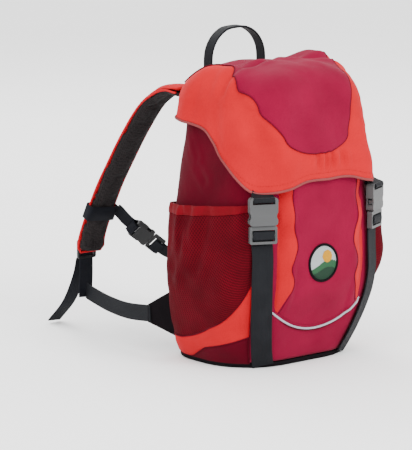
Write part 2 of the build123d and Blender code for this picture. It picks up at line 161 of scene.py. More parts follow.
def outline(q, side, z):
    """Place and outward direction on the bag's outline. q runs round one half: 0 front middle, 1 to 2 the
    front corner, 2 to 3 the side, 3 to 4 the back corner, 5 back middle."""
    width, depth, middle = profile_at(z)
    flat_x, flat_y = width / 2 - CORNER, depth / 2 - CORNER
    round_ = front_corner(z)
    if q <= 1:
        p, n = ((width / 2 - round_) * q, -depth / 2), (0.0, -1.0)
    elif q <= 2:
        a = (q - 1) * math.pi / 2
        n = (math.sin(a), -math.cos(a))
        p = (width / 2 - round_ + round_ * n[0], round_ - depth / 2 + round_ * n[1])
    elif q <= 3:
        p, n = (width / 2, blend_between(round_ - depth / 2, flat_y, q - 2)), (1.0, 0.0)
    elif q <= 4:
        a = (q - 3) * math.pi / 2
        n = (math.cos(a), math.sin(a))
        p = (flat_x + CORNER * n[0], flat_y + CORNER * n[1])
    else:
        p, n = (flat_x * (5 - q), depth / 2), (0.0, 1.0)
    return Vector((side * p[0], p[1] + middle, z)), Vector((side * n[0], n[1], 0.0))


def strap_line(side):
    """Foot, across and outward directions of a front strap."""
    s, c = math.sin(STRAP_ANGLE), math.cos(STRAP_ANGLE)
    reach = CORNER + 1 * MM
    foot = Vector((side * (BAG_WIDTH / 2 - CORNER + s * reach), -(BAG_DEPTH / 2 - CORNER) - c * reach, 0))
    return foot, Vector((c, side * s, 0)), Vector((side * s, -c, 0))


# ---------------------------------------------------------------- meshes


def new_object(name, verts, faces, uvs=None, material=None):
    mesh = bpy.data.meshes.new(name)
    mesh.from_pydata([tuple(v) for v in verts], [], faces)
    if uvs:
        layer = mesh.uv_layers.new(name="UVMap")
        for loop in mesh.loops:
            layer.data[loop.index].uv = uvs[loop.vertex_index]
    mesh.shade_smooth()
    obj = bpy.data.objects.new(name, mesh)
    bpy.context.scene.collection.objects.link(obj)
    if material:
        mesh.materials.append(material)
    return obj


def apply_modifiers(obj):
    graph = bpy.context.evaluated_depsgraph_get()
    mesh = bpy.data.meshes.new_from_object(obj.evaluated_get(graph))
    obj.modifiers.clear()
    obj.data = mesh
    return obj


def grid(name, rows, material, wrap=False):
    """A sheet from rows of points. wrap joins each row's end to its start."""
    count = len(rows[0])
    verts = [p for row in rows for p in row]
    faces = []
    for i in range(len(rows) - 1):
        for j in range(count if wrap else count - 1):
            k = (j + 1) % count
            faces.append((i * count + j, i * count + k, (i + 1) * count + k, (i + 1) * count + j))
    uvs = []
    down = 0.0
    for i, row in enumerate(rows):
        down += (row[count // 2] - rows[i - 1][count // 2]).length if i else 0.0
        across = 0.0
        for j, p in enumerate(row):
            across += (p - row[j - 1]).length if j else 0.0
            uvs.append((across, down))
    return new_object(name, verts, faces, uvs, material)


def outward(obj, away_from):
    """Turns the faces to look away from a point."""
    bm = bmesh.new()
    bm.from_mesh(obj.data)
    bmesh.ops.recalc_face_normals(bm, faces=bm.faces)
    vote = sum((f.calc_center_median() - Vector(away_from)).dot(f.normal) * f.calc_area() for f in bm.faces)
    if vote < 0:
        bmesh.ops.reverse_faces(bm, faces=bm.faces)
    bm.to_mesh(obj.data)
    bm.free()
    return obj


def cloth_sheet(name, rows, material, thick, away_from, wrap=False):
    """A sheet with the cloth's thickness on its inner side and a rounded edge."""
    obj = outward(grid(name, rows, material, wrap), away_from)
    solid = obj.modifiers.new("thick", "SOLIDIFY")
    solid.thickness = thick
    solid.offset = -1
    solid.use_even_offset = False
    return apply_modifiers(obj)


def tube_sections(line, across, outline_points, taper=None):
    """Rings of an outline of (across, out) points, carried along a line."""
    rings = []
    for i, p in enumerate(line):
        along = (line[min(i + 1, len(line) - 1)] - line[max(i - 1, 0)]).normalized()
        side = Vector(across)
        side = (side - along * side.dot(along)).normalized()
        out = along.cross(side).normalized()
        scale = taper(i / (len(line) - 1)) if taper else (1.0, 1.0)
        rings.append([p + side * (a * scale[0]) + out * (b * scale[1]) for a, b in outline_points])
    return rings


def closed_tube(name, rings, material):
    """Rings joined into a closed body with flat ends."""
    count = len(rings[0])
    verts = [p for ring in rings for p in ring]
    faces, uvs = [], []
    along = 0.0
    for i, ring in enumerate(rings):
        along += (ring[0] - rings[i - 1][0]).length if i else 0.0
        around = 0.0
        for j, p in enumerate(ring):
            around += (p - ring[j - 1]).length if j else 0.0
            uvs.append((around, along))
    for i in range(len(rings) - 1):
        for j in range(count):
            k = (j + 1) % count
            faces.append((i * count + j, i * count + k, (i + 1) * count + k, (i + 1) * count + j))
    faces.append(tuple(reversed(range(count))))
    faces.append(tuple(range((len(rings) - 1) * count, len(rings) * count)))
    obj = new_object(name, verts, faces, uvs, material)
    bm = bmesh.new()
    bm.from_mesh(obj.data)
    bmesh.ops.recalc_face_normals(bm, faces=bm.faces)
    bm.to_mesh(obj.data)
    bm.free()
    return obj


def flat_outline(width, thick):
    """Webbing in section: flat faces, with a slightly thicker woven edge and a rounded selvedge."""
    edge = 0.8 * MM
    w, t = width / 2, thick / 2
    top = [(-w + edge * 0.3, t * 0.75), (-w + edge, t * 1.12), (-w + 2.2 * edge, t), (-w * 0.5, t), (0, t)]
    top += [(w * 0.5, t), (w - 2.2 * edge, t), (w - edge, t * 1.12), (w - edge * 0.3, t * 0.75)]
    bottom = [(a, -b) for a, b in reversed(top)]
    return [(-w, 0.0), *top, (w, 0.0), *bottom]


def webbing(name, points, across, width, thick, material, count=60, taper=None):
    line = line_through(points, count)
    return closed_tube(name, tube_sections(line, across, flat_outline(width, thick), taper), material)


def cord_along(name, line, radius, material, sides=8, closed=False):
    """A round cord that follows points, such as a piped seam."""
    curve = bpy.data.curves.new(name, "CURVE")
    curve.dimensions = "3D"
    curve.bevel_depth = radius
    curve.bevel_resolution = max(sides // 4, 1)
    curve.use_fill_caps = True
    spline = curve.splines.new("POLY")
    spline.points.add(len(line) - 1)
    for point, place in zip(spline.points, line):
        point.co = (*place, 1)
    spline.use_cyclic_u = closed
    obj = bpy.data.objects.new(name, curve)
    bpy.context.scene.collection.objects.link(obj)
    mesh = bpy.data.meshes.new_from_object(obj.evaluated_get(bpy.context.evaluated_depsgraph_get()))
    bpy.data.objects.remove(obj)
    mesh.shade_smooth()
    mesh.materials.clear()
    mesh.materials.append(material)
    piece = bpy.data.objects.new(name, mesh)
    bpy.context.scene.collection.objects.link(piece)
    return piece


def stitches(name, run, material):
    """A row of stitches along (place, outward) pairs on a surface."""
    pitch, length, width = 3.2 * MM, 2.2 * MM, 0.55 * MM
    verts, faces = [], []
    travelled, due = 0.0, pitch / 2
    for (p0, n0), (p1, _) in zip(run, run[1:]):
        step = (p1 - p0).length
        if step < 1e-9:
            continue
        along = (p1 - p0) / step
        while due < travelled + step:
            middle = p0 + along * (due - travelled)
            side = along.cross(n0).normalized() * width / 2
            up, reach = n0 * 0.35 * MM, along * length / 2
            base = len(verts)
            verts += [middle - reach, middle + side, middle + reach, middle - side, middle + up, middle - up]
            for a, b in ((0, 1), (1, 2), (2, 3), (3, 0)):
                faces.append((base + a, base + b, base + 4))
                faces.append((base + b, base + a, base + 5))
            due += pitch
        travelled += step
    return new_object(name, verts, faces, None, material)


def join(objects, name):
    """One piece from several."""
    bm = bmesh.new()
    materials = []
    for obj in objects:
        start = len(bm.faces)
        bm.from_mesh(obj.data)
        bm.faces.ensure_lookup_table()
        for m in obj.data.materials:
            if m not in materials:
                materials.append(m)
        for face in bm.faces[start:]:
            face.material_index = materials.index(obj.data.materials[face.material_index])
    mesh = bpy.data.meshes.new(name)
    bm.to_mesh(mesh)
    bm.free()
    for m in materials:
        mesh.materials.append(m)
    for obj in objects:
        bpy.data.objects.remove(obj)
    piece = bpy.data.objects.new(name, mesh)
    bpy.context.scene.collection.objects.link(piece)
    return piece


def place(obj, body, slot, *replaced):
    """Puts a piece on a body, in place of the CAD nodes it stands for."""
    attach(obj, body)
    if replaced:
        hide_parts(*replaced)
    return obj


# ---------------------------------------------------------------- materials


class Nodes:
    """A few shorthands for building one material's node tree."""

    def __init__(self, name):
        self.material = bpy.data.materials.new(name)
        self.material.use_nodes = True
        self.tree = self.material.node_tree
        self.shader = self.tree.nodes["Principled BSDF"]
        self.coords = self.tree.nodes.new("ShaderNodeTexCoord")

    def link(self, source, target):
        self.tree.links.new(source, target)

    def math(self, kind, a, b=None):
        node = self.tree.nodes.new("ShaderNodeMath")
        node.operation = kind
        for socket, value in zip(node.inputs, (a, b)):
            if value is None:
                continue
            if isinstance(value, (int, float)):
                socket.default_value = value
            else:
                self.link(value, socket)
        return node.outputs[0]

    def axes(self, kind):
        split = self.tree.nodes.new("ShaderNodeSeparateXYZ")
        self.link(self.coords.outputs[kind], split.inputs[0])
        return list(split.outputs)

    def noise(self, scale, detail=3.0):
        node = self.tree.nodes.new("ShaderNodeTexNoise")
        node.inputs["Scale"].default_value = scale
        node.inputs["Detail"].default_value = detail
        self.link(self.coords.outputs["Object"], node.inputs["Vector"])
        return node.outputs["Fac"]

    def mix(self, factor, a, b):
        node = self.tree.nodes.new("ShaderNodeMix")
        node.data_type = "RGBA"
        self.link(factor, node.inputs[0])
        for socket, value in ((node.inputs[6], a), (node.inputs[7], b)):
            if isinstance(value, tuple):
                socket.default_value = (*value, 1)
            else:
                self.link(value, socket)
        return node.outputs[2]

    def ramp(self, value, low, high):
        node = self.tree.nodes.new("ShaderNodeMapRange")
        self.link(value, node.inputs[0])
        node.inputs[1].default_value = low
        node.inputs[2].default_value = high
        return node.outputs[0]

    def bump(self, height, strength, distance):
        node = self.tree.nodes.new("ShaderNodeBump")
        node.inputs["Strength"].default_value = strength
        node.inputs["Distance"].default_value = distance
        self.link(height, node.inputs["Height"])
        self.link(node.outputs[0], self.shader.inputs["Normal"])

    def surface(self, colour, rough, specular):
        """Sets the shader's colour, roughness and specular level, and gives the material."""
        self.link(colour, self.shader.inputs["Base Color"])
        if isinstance(rough, float):
            self.shader.inputs["Roughness"].default_value = rough
        else:
            self.link(rough, self.shader.inputs["Roughness"])
        self.shader.inputs["Specular IOR Level"].default_value = specular
        return self.material

    def wave(self, value, pitch):
        return self.math("SINE", self.math("MULTIPLY", value, 2 * math.pi / pitch))


def darker(colour, share):
    return tuple(c * share for c in colour)


def cloth(name, colour, shade, pitch=1.1 * MM, sheen=0.03):
    """Plain-weave polyester: threads over and under, uneven dye, a little sheen."""
    n = Nodes(name)
    x, y = n.axes("UV")[:2]
    weave = n.math("MULTIPLY", n.wave(x, pitch), n.wave(y, pitch))
    fine = n.noise(900, 2)
    dye = n.mix(n.ramp(n.noise(22, 4), 0.3, 0.75), colour, shade)
    base = n.mix(n.math("MULTIPLY", n.ramp(weave, -1, 1), 0.3), dye, darker(shade, 0.72))
    crinkle = n.math("MULTIPLY", n.noise(150, 3), 1.6)
    height = n.math("ADD", n.math("MULTIPLY", weave, 0.22), crinkle)
    height = n.math("ADD", height, n.math("MULTIPLY", fine, 0.3))
    n.bump(height, 0.35, 0.6 * MM)
    n.shader.inputs["Sheen Weight"].default_value = sheen
    n.shader.inputs["Sheen Roughness"].default_value = 0.45
    return n.surface(base, n.math("ADD", n.math("MULTIPLY", fine, 0.14), 0.78), 0.04)


def web_material(name, colour, light):
    """Woven webbing: ribs along its length crossed by fine picks, with painted light on the raised threads
    and painted shade in the low ones.
    """
    n = Nodes(name)
    x, y = n.axes("UV")[:2]
    ribs, picks = n.wave(x, 1.6 * MM), n.wave(y, 1.1 * MM)
    twill = n.math("MULTIPLY", picks, n.wave(n.math("ADD", x, y), 2.2 * MM))
    height = n.math("ADD", n.math("MULTIPLY", ribs, 0.5), n.math("MULTIPLY", twill, 0.5))
    wear = n.noise(60, 4)
    # Colour follows the weave's height: light is painted light on the raised threads, and colour is painted
    # shade in the low ones.
    shade = n.mix(n.ramp(height, -1, 1), colour, light)
    lighter_share = n.math("MULTIPLY", n.ramp(wear, 0.45, 0.8), 0.35)
    n.bump(height, 0.5, 0.3 * MM)
    rough = n.math("ADD", n.math("MULTIPLY", wear, 0.2), 0.5)
    return n.surface(n.mix(lighter_share, shade, darker(light, 1.5)), rough, 0.05)


def plastic(name, colour, edge):
    """Moulded acetal with a fine spark texture, and a painted highlight on its sharp edges."""
    n = Nodes(name)
    geometry = n.tree.nodes.new("ShaderNodeNewGeometry")
    # Sharp convex edges, found by pointiness, get the lighter edge colour: a painted highlight.
    lighter_share = n.math("MULTIPLY", n.ramp(geometry.outputs["Pointiness"], 0.5, 0.62), 0.7)
    base = n.mix(n.math("MULTIPLY", n.noise(35, 4), 0.4), colour, darker(colour, 0.7))
    n.bump(n.noise(1400, 2), 0.12, 0.2 * MM)
    rough = n.math("ADD", n.math("MULTIPLY", n.noise(300, 2), 0.2), 0.32)
    return n.surface(n.mix(lighter_share, base, edge), rough, 0.22)


def net_material(name, thread, hole):
    """Stretch net: slanting knitted threads with darker holes between; the hole colour is the cloth behind,
    darkened with painted shade.
    """
    n = Nodes(name)
    x, y = n.axes("UV")[:2]
    pitch = 3.7 * MM
    lean = n.math("MULTIPLY", y, 0.75)
    slants = [n.wave(n.math(kind, x, lean), pitch) for kind in ("ADD", "SUBTRACT")]
    mask = n.ramp(n.math("MAXIMUM", *slants), 0.15, 0.75)
    patchy = n.mix(n.ramp(n.noise(28, 3), 0.35, 0.7), thread, darker(thread, 0.62))
    n.bump(mask, 0.7, 0.7 * MM)
    # The holes get the hole colour: the cloth behind the net, with painted shade of the pocket's inside.
    return n.surface(n.mix(mask, hole, patchy), 0.75, 0.04)


def spacer_material(name, colour, pit):
    """Knitted spacer mesh: rows of small pits, darkened with painted shade."""
    n = Nodes(name)
    cells = n.tree.nodes.new("ShaderNodeTexVoronoi")
    cells.inputs["Scale"].default_value = 420
    cells.inputs["Randomness"].default_value = 0.35
    n.link(n.coords.outputs["Object"], cells.inputs["Vector"])
    mask = n.ramp(cells.outputs["Distance"], 0.15, 0.6)
    base = n.mix(n.ramp(n.noise(30, 3), 0.3, 0.7), colour, darker(colour, 0.75))
    n.bump(mask, 0.6, 0.5 * MM)
    # The pits get the darker pit colour: painted shade.
    return n.surface(n.mix(mask, pit, base), 0.85, 0.08)


def plain_material(name, colour, rough, metal=0.0, grain=400):
    """One colour with a fine unevenness."""
    n = Nodes(name)
    spots = n.noise(grain, 3)
    n.shader.inputs["Metallic"].default_value = metal
    n.bump(spots, 0.15, 0.3 * MM)
    uneven = n.math("ADD", n.math("MULTIPLY", spots, 0.2), rough - 0.1)
    return n.surface(n.mix(spots, colour, darker(colour, 0.7)), uneven, 0.1)


def satin(name, colour):
    """Satin-stitch embroidery: fine parallel threads, with painted shade in the grooves between them."""
    n = Nodes(name)
    x, _, z = n.axes("Object")
    thread = n.wave(n.math("ADD", z, n.math("MULTIPLY", x, 0.35)), 0.9 * MM)
    n.bump(thread, 0.5, 0.4 * MM)
    # The grooves between the threads get the darker colour: painted shade.
    return n.surface(n.mix(n.ramp(thread, -1, 1), darker(colour, 0.6), colour), 0.55, 0.15)


CORAL = cloth("coral_cloth", (0.43, 0.0065, 0.0125), (0.34, 0.0045, 0.0090))
RASPBERRY = cloth("raspberry_cloth", (0.190, 0.0026, 0.0260), (0.145, 0.0018, 0.0190))
CRIMSON = cloth("crimson_cloth", (0.078, 0.0007, 0.0075), (0.050, 0.0005, 0.0048))
BLACK = cloth("black_cloth", (0.0060, 0.0045, 0.0055), (0.0035, 0.0028, 0.0035), sheen=0.0)
BINDING = cloth("hem_binding", (0.210, 0.045, 0.045), (0.150, 0.030, 0.032), pitch=0.9 * MM)
# In ELASTIC, SLATE_WEB and DARK_WEB the second colour is painted light on the raised threads.
ELASTIC = web_material("red_elastic", (0.085, 0.0007, 0.0035), (0.120, 0.0012, 0.0055))
# In NET the second colour is the cloth seen through the holes, darkened with painted shade.
NET = net_material("side_net", (0.098, 0.0013, 0.0062), (0.034, 0.0005, 0.0026))
SLATE_WEB = web_material("slate_webbing", (0.0050, 0.0053, 0.0064), (0.0105, 0.0112, 0.0132))
DARK_WEB = web_material("black_webbing", (0.0030, 0.0034, 0.0050), (0.0085, 0.0092, 0.0125))
# In BUCKLE and DARK_BUCKLE the second colour is a painted highlight on the edges.
BUCKLE = plastic("grey_acetal", (0.0270, 0.0280, 0.0290), (0.0700, 0.0710, 0.0720))
DARK_BUCKLE = plastic("black_acetal", (0.0022, 0.0022, 0.0026), (0.0060, 0.0060, 0.0068))
# In SPACER the second colour is painted shade in the pits.
SPACER = spacer_material("spacer_mesh", (0.0210, 0.0175, 0.0180), (0.0070, 0.0060, 0.0060))
FOAM = plain_material("foam", (0.02, 0.02, 0.02), 0.9, grain=600)
REFLECTIVE = plain_material("reflective_piping", (0.34, 0.35, 0.39), 0.5, grain=900)
METAL = plain_material("eyelet_metal", (0.30, 0.30, 0.32), 0.35, metal=0.9)
SEAM_RED = plain_material("seam_thread", (0.085, 0.0014, 0.0085), 0.85)
CORAL_THREAD = plain_material("coral_thread", (0.36, 0.012, 0.010), 0.8)


# ---------------------------------------------------------------- bag body

SHELL_THICK = 1.6 * MM
BAG_MIDDLE = (0, 0, 0.15)
# Seams and edges on each half of the bag: (q, height) knots
SEAM_Q = 1.42
BACK_Q = 3.55
NET_LOW = [(1.42, 0.108), (1.62, 0.079), (1.9, 0.052), (2.3, 0.038), (2.97, 0.029), (3.55, 0.026)]
CORAL_LOW = [(1.42, 0.040), (1.75, 0.028), (2.3, 0.014), (2.75, 0.0065), (3.55, 0.006)]


def body_point(q, side, z, out=0.0):
    """A point on the filled bag: the outline, with rumples and the folds that hang in the cloth."""
    p, n = outline(q, side, z)
    slack = smooth(z / 0.02) * smooth((BAG_HEIGHT + 4 * MM - z) / 0.03)
    lift = rumple(p, 0.075, 2.6 * MM) + rumple(p, 0.030, 1.1 * MM, 3.0) + rumple(p, 0.014, 0.35 * MM, 7.0)
    if side < 0:
        lift += crease(p, (-0.101, 0.050, 0.262), (-0.104, 0.004, 0.215), 2.4 * MM, 5 * MM)
        lift += crease(p, (-0.098, 0.045, 0.276), (-0.099, 0.020, 0.240), 2.0 * MM, 4 * MM)
    else:
        lift += crease(p, (0.101, 0.040, 0.255), (0.104, -0.010, 0.222), 2.2 * MM, 5 * MM)
    lift += crease(p, (side * 0.058, -0.076, 0.020), (side * 0.020, -0.079, 0.036), 1.4 * MM, 5 * MM)
    return p + n * (out + slack * lift)


def patch(name, q_range, z_low, z_high, side, material, out=0.0, puff=1.5 * MM, nq=60, nz=90, both=False):
    """A panel of the bag between two places round it and two edges, pulled in along its seams."""
    rows = []
    starts = (-q_range[1], q_range[1]) if both else q_range
    for i in range(nz + 1):
        v = i / nz
        row = []
        for j in range(nq + 1):
            u = j / nq
            q = blend_between(*starts, u)
            half = (1 if q > 0 else -1) if both else side
            q = abs(q)
            z = blend_between(z_low(q), z_high(q), v)
            edge = max(abs(2 * u - 1), abs(2 * v - 1))
            row.append(body_point(q, half, z, out + puff * (1 - edge ** 7)))
        rows.append(row)
    return cloth_sheet(name, rows, material, SHELL_THICK, BAG_MIDDLE)


def level(z):
    return lambda q: z


def knots(points):
    return lambda q: curve_through(points, q)


def seam_line(name, line, radius, slot="crimson_fabric"):
    """A rolled seam on the bag."""
    place(cord_along(name, line, radius, SEAM_RED), "root", slot)


def make_bag():
    rim = BAG_HEIGHT - 0.5 * MM
    trim_top = 7 * MM
    heights = [z * rim / 60 for z in range(1, 61)]
    span = (SEAM_Q, BACK_Q)
    net_low, coral_low = knots(NET_LOW), knots(CORAL_LOW)
    front = patch("bag_front", (0, SEAM_Q), level(trim_top), level(rim), 1, RASPBERRY, nq=90, both=True)
    place(front, "root", "raspberry_fabric", "front_panel")
    for name, side in SIDES:
        upper = patch(f"side_panel_{name}", span, net_low, level(rim), side, CRIMSON)
        place(upper, "root", "crimson_fabric", f"side_upper_{name}")
        lower = patch(f"side_foot_{name}", span, coral_low, net_low, side, CORAL, 0.4 * MM, nz=24)
        place(lower, "root", "coral_fabric", f"side_lower_{name}")
        wedge = patch(
            f"side_wedge_{name}", span, level(3 * MM), coral_low, side, CRIMSON, puff=0.4 * MM, nq=50, nz=10
        )
        place(wedge, "root", "crimson_fabric")
        seam = [body_point(SEAM_Q, side, z, 0.4 * MM) for z in heights[1:]]
        seam_line(f"front_seam_{name}", seam, 0.6 * MM)
        seam_line(f"back_seam_{name}", [body_point(BACK_Q, side, z, 0.6 * MM) for z in heights], 0.9 * MM)
        edge = [body_point(q, side, net_low(q), 1.2 * MM) for q in steps(SEAM_Q, BACK_Q, 60)]
        seam_line(f"net_seam_{name}", edge, 0.7 * MM)
        edge = [body_point(q, side, coral_low(q), 0.7 * MM) for q in steps(SEAM_Q, 2.9, 40)]
        seam_line(f"foot_seam_{name}", edge, 0.5 * MM)
    back = [(q, side) for side, way in ((-1, 1), (1, -1)) for q in steps(BACK_Q, 5, 30)[::way]]
    rows = [[body_point(q, side, z, 0.2 * MM) for q, side in back] for z in steps(3 * MM, rim, 60)]
    cloth_back = cloth_sheet("bag_back", rows, CRIMSON, SHELL_THICK, BAG_MIDDLE)
    place(cloth_back, "root", "crimson_fabric", "back_panel")


def steps(low, high, count):
    return [blend_between(low, high, i / (count - 1)) for i in range(count)]


def ring_of(z, out, count=28):
    """Points all round the bag at a height."""
    half = steps(0, 5, count)
    left = [outline(q, -1, z) for q in half]
    right = [outline(q, 1, z) for q in reversed(half[1:-1])]
    return [p + n * out for p, n in left + right]


def make_base():
    centre = Vector((0, 0.003, 0))
    under = []
    for share, rise in ((0.05, 0.9), (0.35, 0.6), (0.7, 0.4), (0.95, 0.2), (0.995, 1.2)):
        up = Vector((0, 0, rise * MM))
        under.append([blend_between(centre, p, share) + up for p in ring_of(0, 0.4 * MM)])
    over = [[p + Vector((0, 0, 2 * MM)) for p in ring] for ring in reversed(under)]
    floor = closed_tube("base_cloth", [*under, *over], BLACK)
    place(floor, "root", "black_fabric", "base_panel")
    rows = []
    for z, out in ((0.3, -1.5), (0.2, 0.2), (1.2, 1.5), (3.0, 1.9), (4.8, 1.5), (5.6, 0.6), (5.6, -0.6)):
        row = [p + Vector((0, 0, (z - 2) * MM)) for p in ring_of(2 * MM, out * MM, 44)]
        rows.append(row)
    trim = cloth_sheet("base_binding", rows, BLACK, 0.8 * MM, (0, 0, 0.004), wrap=True)
    place(trim, "root", "black_fabric", "base_trim")


def make_collar():
    low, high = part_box("collar")
    inset = BAG_WIDTH * PROFILE[-1][1] / 2 - high.x
    rows = []
    for z in steps(low.z, high.z, 14):
        row = []
        for p, q in zip(ring_of(BAG_HEIGHT, -inset, 40), range(200)):
            lean = 0.9 * MM * math.sin(q * 1.1) * smooth((z - 0.312) / 0.01)
            row.append(Vector((p.x, p.y, z)) + Vector((p.x, p.y, 0)).normalized() * lean)
        rows.append(row)
    collar = cloth_sheet("collar_cloth", rows, RASPBERRY, 1.3 * MM, (0, 0, 0.3), wrap=True)
    place(collar, "root", "crimson_fabric", "collar")


# ---------------------------------------------------------------- front pocket


def front_face(x, z):
    """y of the bag's front and corner at x."""
    width, depth, middle = profile_at(z)
    corner = front_corner(z)
    over = max(abs(x) - width / 2 + corner, 0.0)
    return middle - depth / 2 + corner - math.sqrt(max(corner ** 2 - over ** 2, 0.0))


def pocket_low(x):
    """The pocket's curved lower edge."""
    return 0.042 + 0.026 * min(abs(x) / 0.066, 1.35) ** 2


POCKET_EDGE = 68 * MM  # half the pocket's width over its gussets
GUSSET_SEAM = [
    (0.060, 0.061),
    (0.085, 0.053),
    (0.102, 0.047),
    (0.120, 0.052),
    (0.143, 0.043),
    (0.172, 0.049),
    (0.224, 0.048),
]


def gusset_seam(z):
    """Half the pocket panel's width: the gussets' cloth ruckles along the seam."""
    return curve_through(GUSSET_SEAM, z)


def pocket_point(x, z, out=0.0):
    half, edge = 47 * MM, POCKET_EDGE
    lift = smooth((z - pocket_low(x)) / 0.075)
    proud = blend_between(3.5 * MM, 12.0 * MM, lift)
    side = smooth((edge - abs(x)) / (edge - half))
    p = Vector((x, front_face(x, z) - proud * side ** 0.8 - 0.6 * MM, z))
    waves = smooth((abs(x) - half + 4 * MM) / (8 * MM)) * smooth((edge - abs(x)) / (6 * MM))
    waves *= smooth((0.226 - z) / 0.03)
    fold = math.sin(z / 0.0125 + 1.5 * math.sin(z / 0.03) + (0 if x < 0 else 1.3)) * 2.6 * MM
    rough = rumple(p, 0.06, 2.0 * MM, 11) + rumple(p, 0.022, 0.7 * MM, 12)
    return p - Vector((0, out + rough + waves * fold, 0))


def pocket_sheet(name, shares, top, material, nx, nz):
    """Cloth of the pocket. shares go from 0 in the middle to 1 at the gusset's seam, 2 at the outer edge."""
    rows = []
    for v in steps(0, 1, nz):
        row = []
        for share in steps(*shares, nx):
            reach, sign = abs(share), math.copysign(1, share)
            rough_x = min(reach, 1) * 48 * MM + max(reach - 1, 0) * 20 * MM
            seam = gusset_seam(blend_between(pocket_low(rough_x), top, v))
            x = sign * (min(reach, 1) * seam + max(reach - 1, 0) * (POCKET_EDGE - seam))
            row.append(pocket_point(x, blend_between(pocket_low(x), top, v)))
        rows.append(row)
    return cloth_sheet(name, rows, material, 1.3 * MM, (0, 0, 0.13))


def make_pocket():
    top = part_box("pocket_panel")[1].z
    panel = pocket_sheet("pocket_face", (-1, 1), top, RASPBERRY, 50, 90)
    place(panel, "root", "raspberry_fabric", "pocket_panel")
    for name, sign in SIDES:
        gusset = pocket_sheet(f"gusset_{name}", (sign, 2 * sign), top, CORAL, 24, 120)
        place(gusset, "root", "coral_fabric", "pocket_gussets")
        seam = [pocket_point(sign * gusset_seam(z), z, 0.3 * MM) for z in steps(0.068, top, 80)]
        seam_line(f"pocket_seam_{name}", seam, 0.35 * MM, slot="raspberry_fabric")
    run = steps(-POCKET_EDGE, POCKET_EDGE, 70)
    line = [pocket_point(x, pocket_low(x) + 0.4 * MM, 0.8 * MM) for x in run]
    piping = cord_along("reflective_cord", line, 1.25 * MM, REFLECTIVE, 12)
    place(piping, "root", "reflective", "pocket_piping")
    line = [pocket_point(x, pocket_low(x) - 2 * MM, 0.2 * MM) for x in run]
    seam_line("piping_edge", line, 0.7 * MM, slot="raspberry_fabric")
    row = [(pocket_point(x, pocket_low(x) + 5 * MM, 0.2 * MM), Vector((0, -1, 0))) for x in run]
    place(stitches("pocket_stitches", row, SEAM_RED), "root", "raspberry_fabric")


def make_badge():
    """A round sewn patch with plain hills and a sun."""
    low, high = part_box("badge")
    centre_x, centre_z = (low.x + high.x) / 2, (low.z + high.z) / 2
    radius = (high.x - low.x) / 2

    def disc(name, material, inside, out):
        """The part of the badge's face for which inside(x, z) holds, laid on the pocket."""
        nr, na = 26, 72
        verts, faces = [], []
        for i in range(nr + 1):
            for j in range(na):
                r, a = radius * max(i / nr, 0.001), 2 * math.pi * j / na
                x, z = r * math.cos(a), r * math.sin(a)
                verts.append(pocket_point(centre_x + x, centre_z + z, out * (1 - (i / nr) ** 14)))
        for i in range(nr):
            for j in range(na):
                k = (j + 1) % na
                quad = (i * na + j, i * na + k, (i + 1) * na + k, (i + 1) * na + j)
                c = sum((verts[v] for v in quad), Vector()) / 4
                if inside((c.x - centre_x) / radius, (c.z - centre_z) / radius):
                    faces.append(quad)
        return new_object(name, verts, faces, None, material)

    sky = satin("badge_sky", (0.36, 0.40, 0.40))
    sun = satin("badge_sun", (0.52, 0.24, 0.003))
    far_hill = satin("badge_far_hill", (0.020, 0.085, 0.035))
    hill = satin("badge_hill", (0.006, 0.030, 0.014))
    hill_line = lambda x: -0.08 + 0.22 * math.sin(2.4 * x + 0.6)
    near_line = lambda x: -0.42 + 0.16 * math.cos(2.7 * x - 0.9)
    in_sun = lambda x, z: (x - 0.28) ** 2 + (z - 0.34) ** 2 < 0.11
    layers = [
        disc("a", sky, lambda x, z: z >= hill_line(x) and not in_sun(x, z), 1.1 * MM),
        disc("b", sun, in_sun, 1.3 * MM),
        disc("c", far_hill, lambda x, z: near_line(x) <= z < hill_line(x), 1.2 * MM),
        disc("d", hill, lambda x, z: z < near_line(x), 1.3 * MM),
    ]
    picture = join(layers, "badge_picture")
    place(picture, "root", "badge", "badge")
    rim = []
    for k in range(72):
        a = 2 * math.pi * k / 72
        rim.append(pocket_point(centre_x + radius * math.cos(a), centre_z + radius * math.sin(a), 0.6 * MM))
    place(cord_along("badge_rim", rim, 1.5 * MM, BLACK, 12, True), "root", "badge")


# ---------------------------------------------------------------- side pockets


def net_point(q, side, v, out=0.0):
    """The side pocket between its seams: v 0 at the lower seam, 1 at the elastic's top edge."""
    top = curve_through([(SEAM_Q, 0.196), (2.3, 0.190), (BACK_Q, 0.182)], q)
    z = blend_between(curve_through(NET_LOW, q), top, v)
    u = (q - SEAM_Q) / (BACK_Q - SEAM_Q)
    bulge = 11 * MM * math.sin(math.pi * min(max(u, 0), 1)) ** 0.55 * smooth(v / 0.4) ** 0.6
    if side > 0:
        bulge += 9 * MM * math.exp(-(((q - 1.65) / 0.22) ** 2)) * smooth(u / 0.09) * math.sin(math.pi * v)
    p, n = outline(q, side, z)
    gather = smooth((v - 0.45) / 0.5) * math.sin(u * 46 + 2.2 * math.sin(u * 9)) * 0.9 * MM
    folds = crease(p, (side * 0.112, 0.012, 0.182), (side * 0.118, 0.034, 0.112), 6.0 * MM, 8 * MM)
    folds += crease(p, (side * 0.112, 0.020, 0.180), (side * 0.116, 0.004, 0.140), 4.0 * MM, 6 * MM)
    folds += crease(p, (side * 0.110, -0.020, 0.184), (side * 0.113, -0.004, 0.120), 3.6 * MM, 8 * MM)
    folds += crease(p, (side * 0.108, 0.048, 0.180), (side * 0.106, 0.040, 0.100), 3.2 * MM, 8 * MM)
    rough = rumple(p, 0.05, 2.2 * MM, 21) + rumple(p, 0.02, 0.8 * MM, 22)
    inner = smooth(min(u, 1 - u) / 0.08) * smooth(v / 0.08)
    return p + n * (1.2 * MM + out + bulge + inner * (gather + folds + rough))


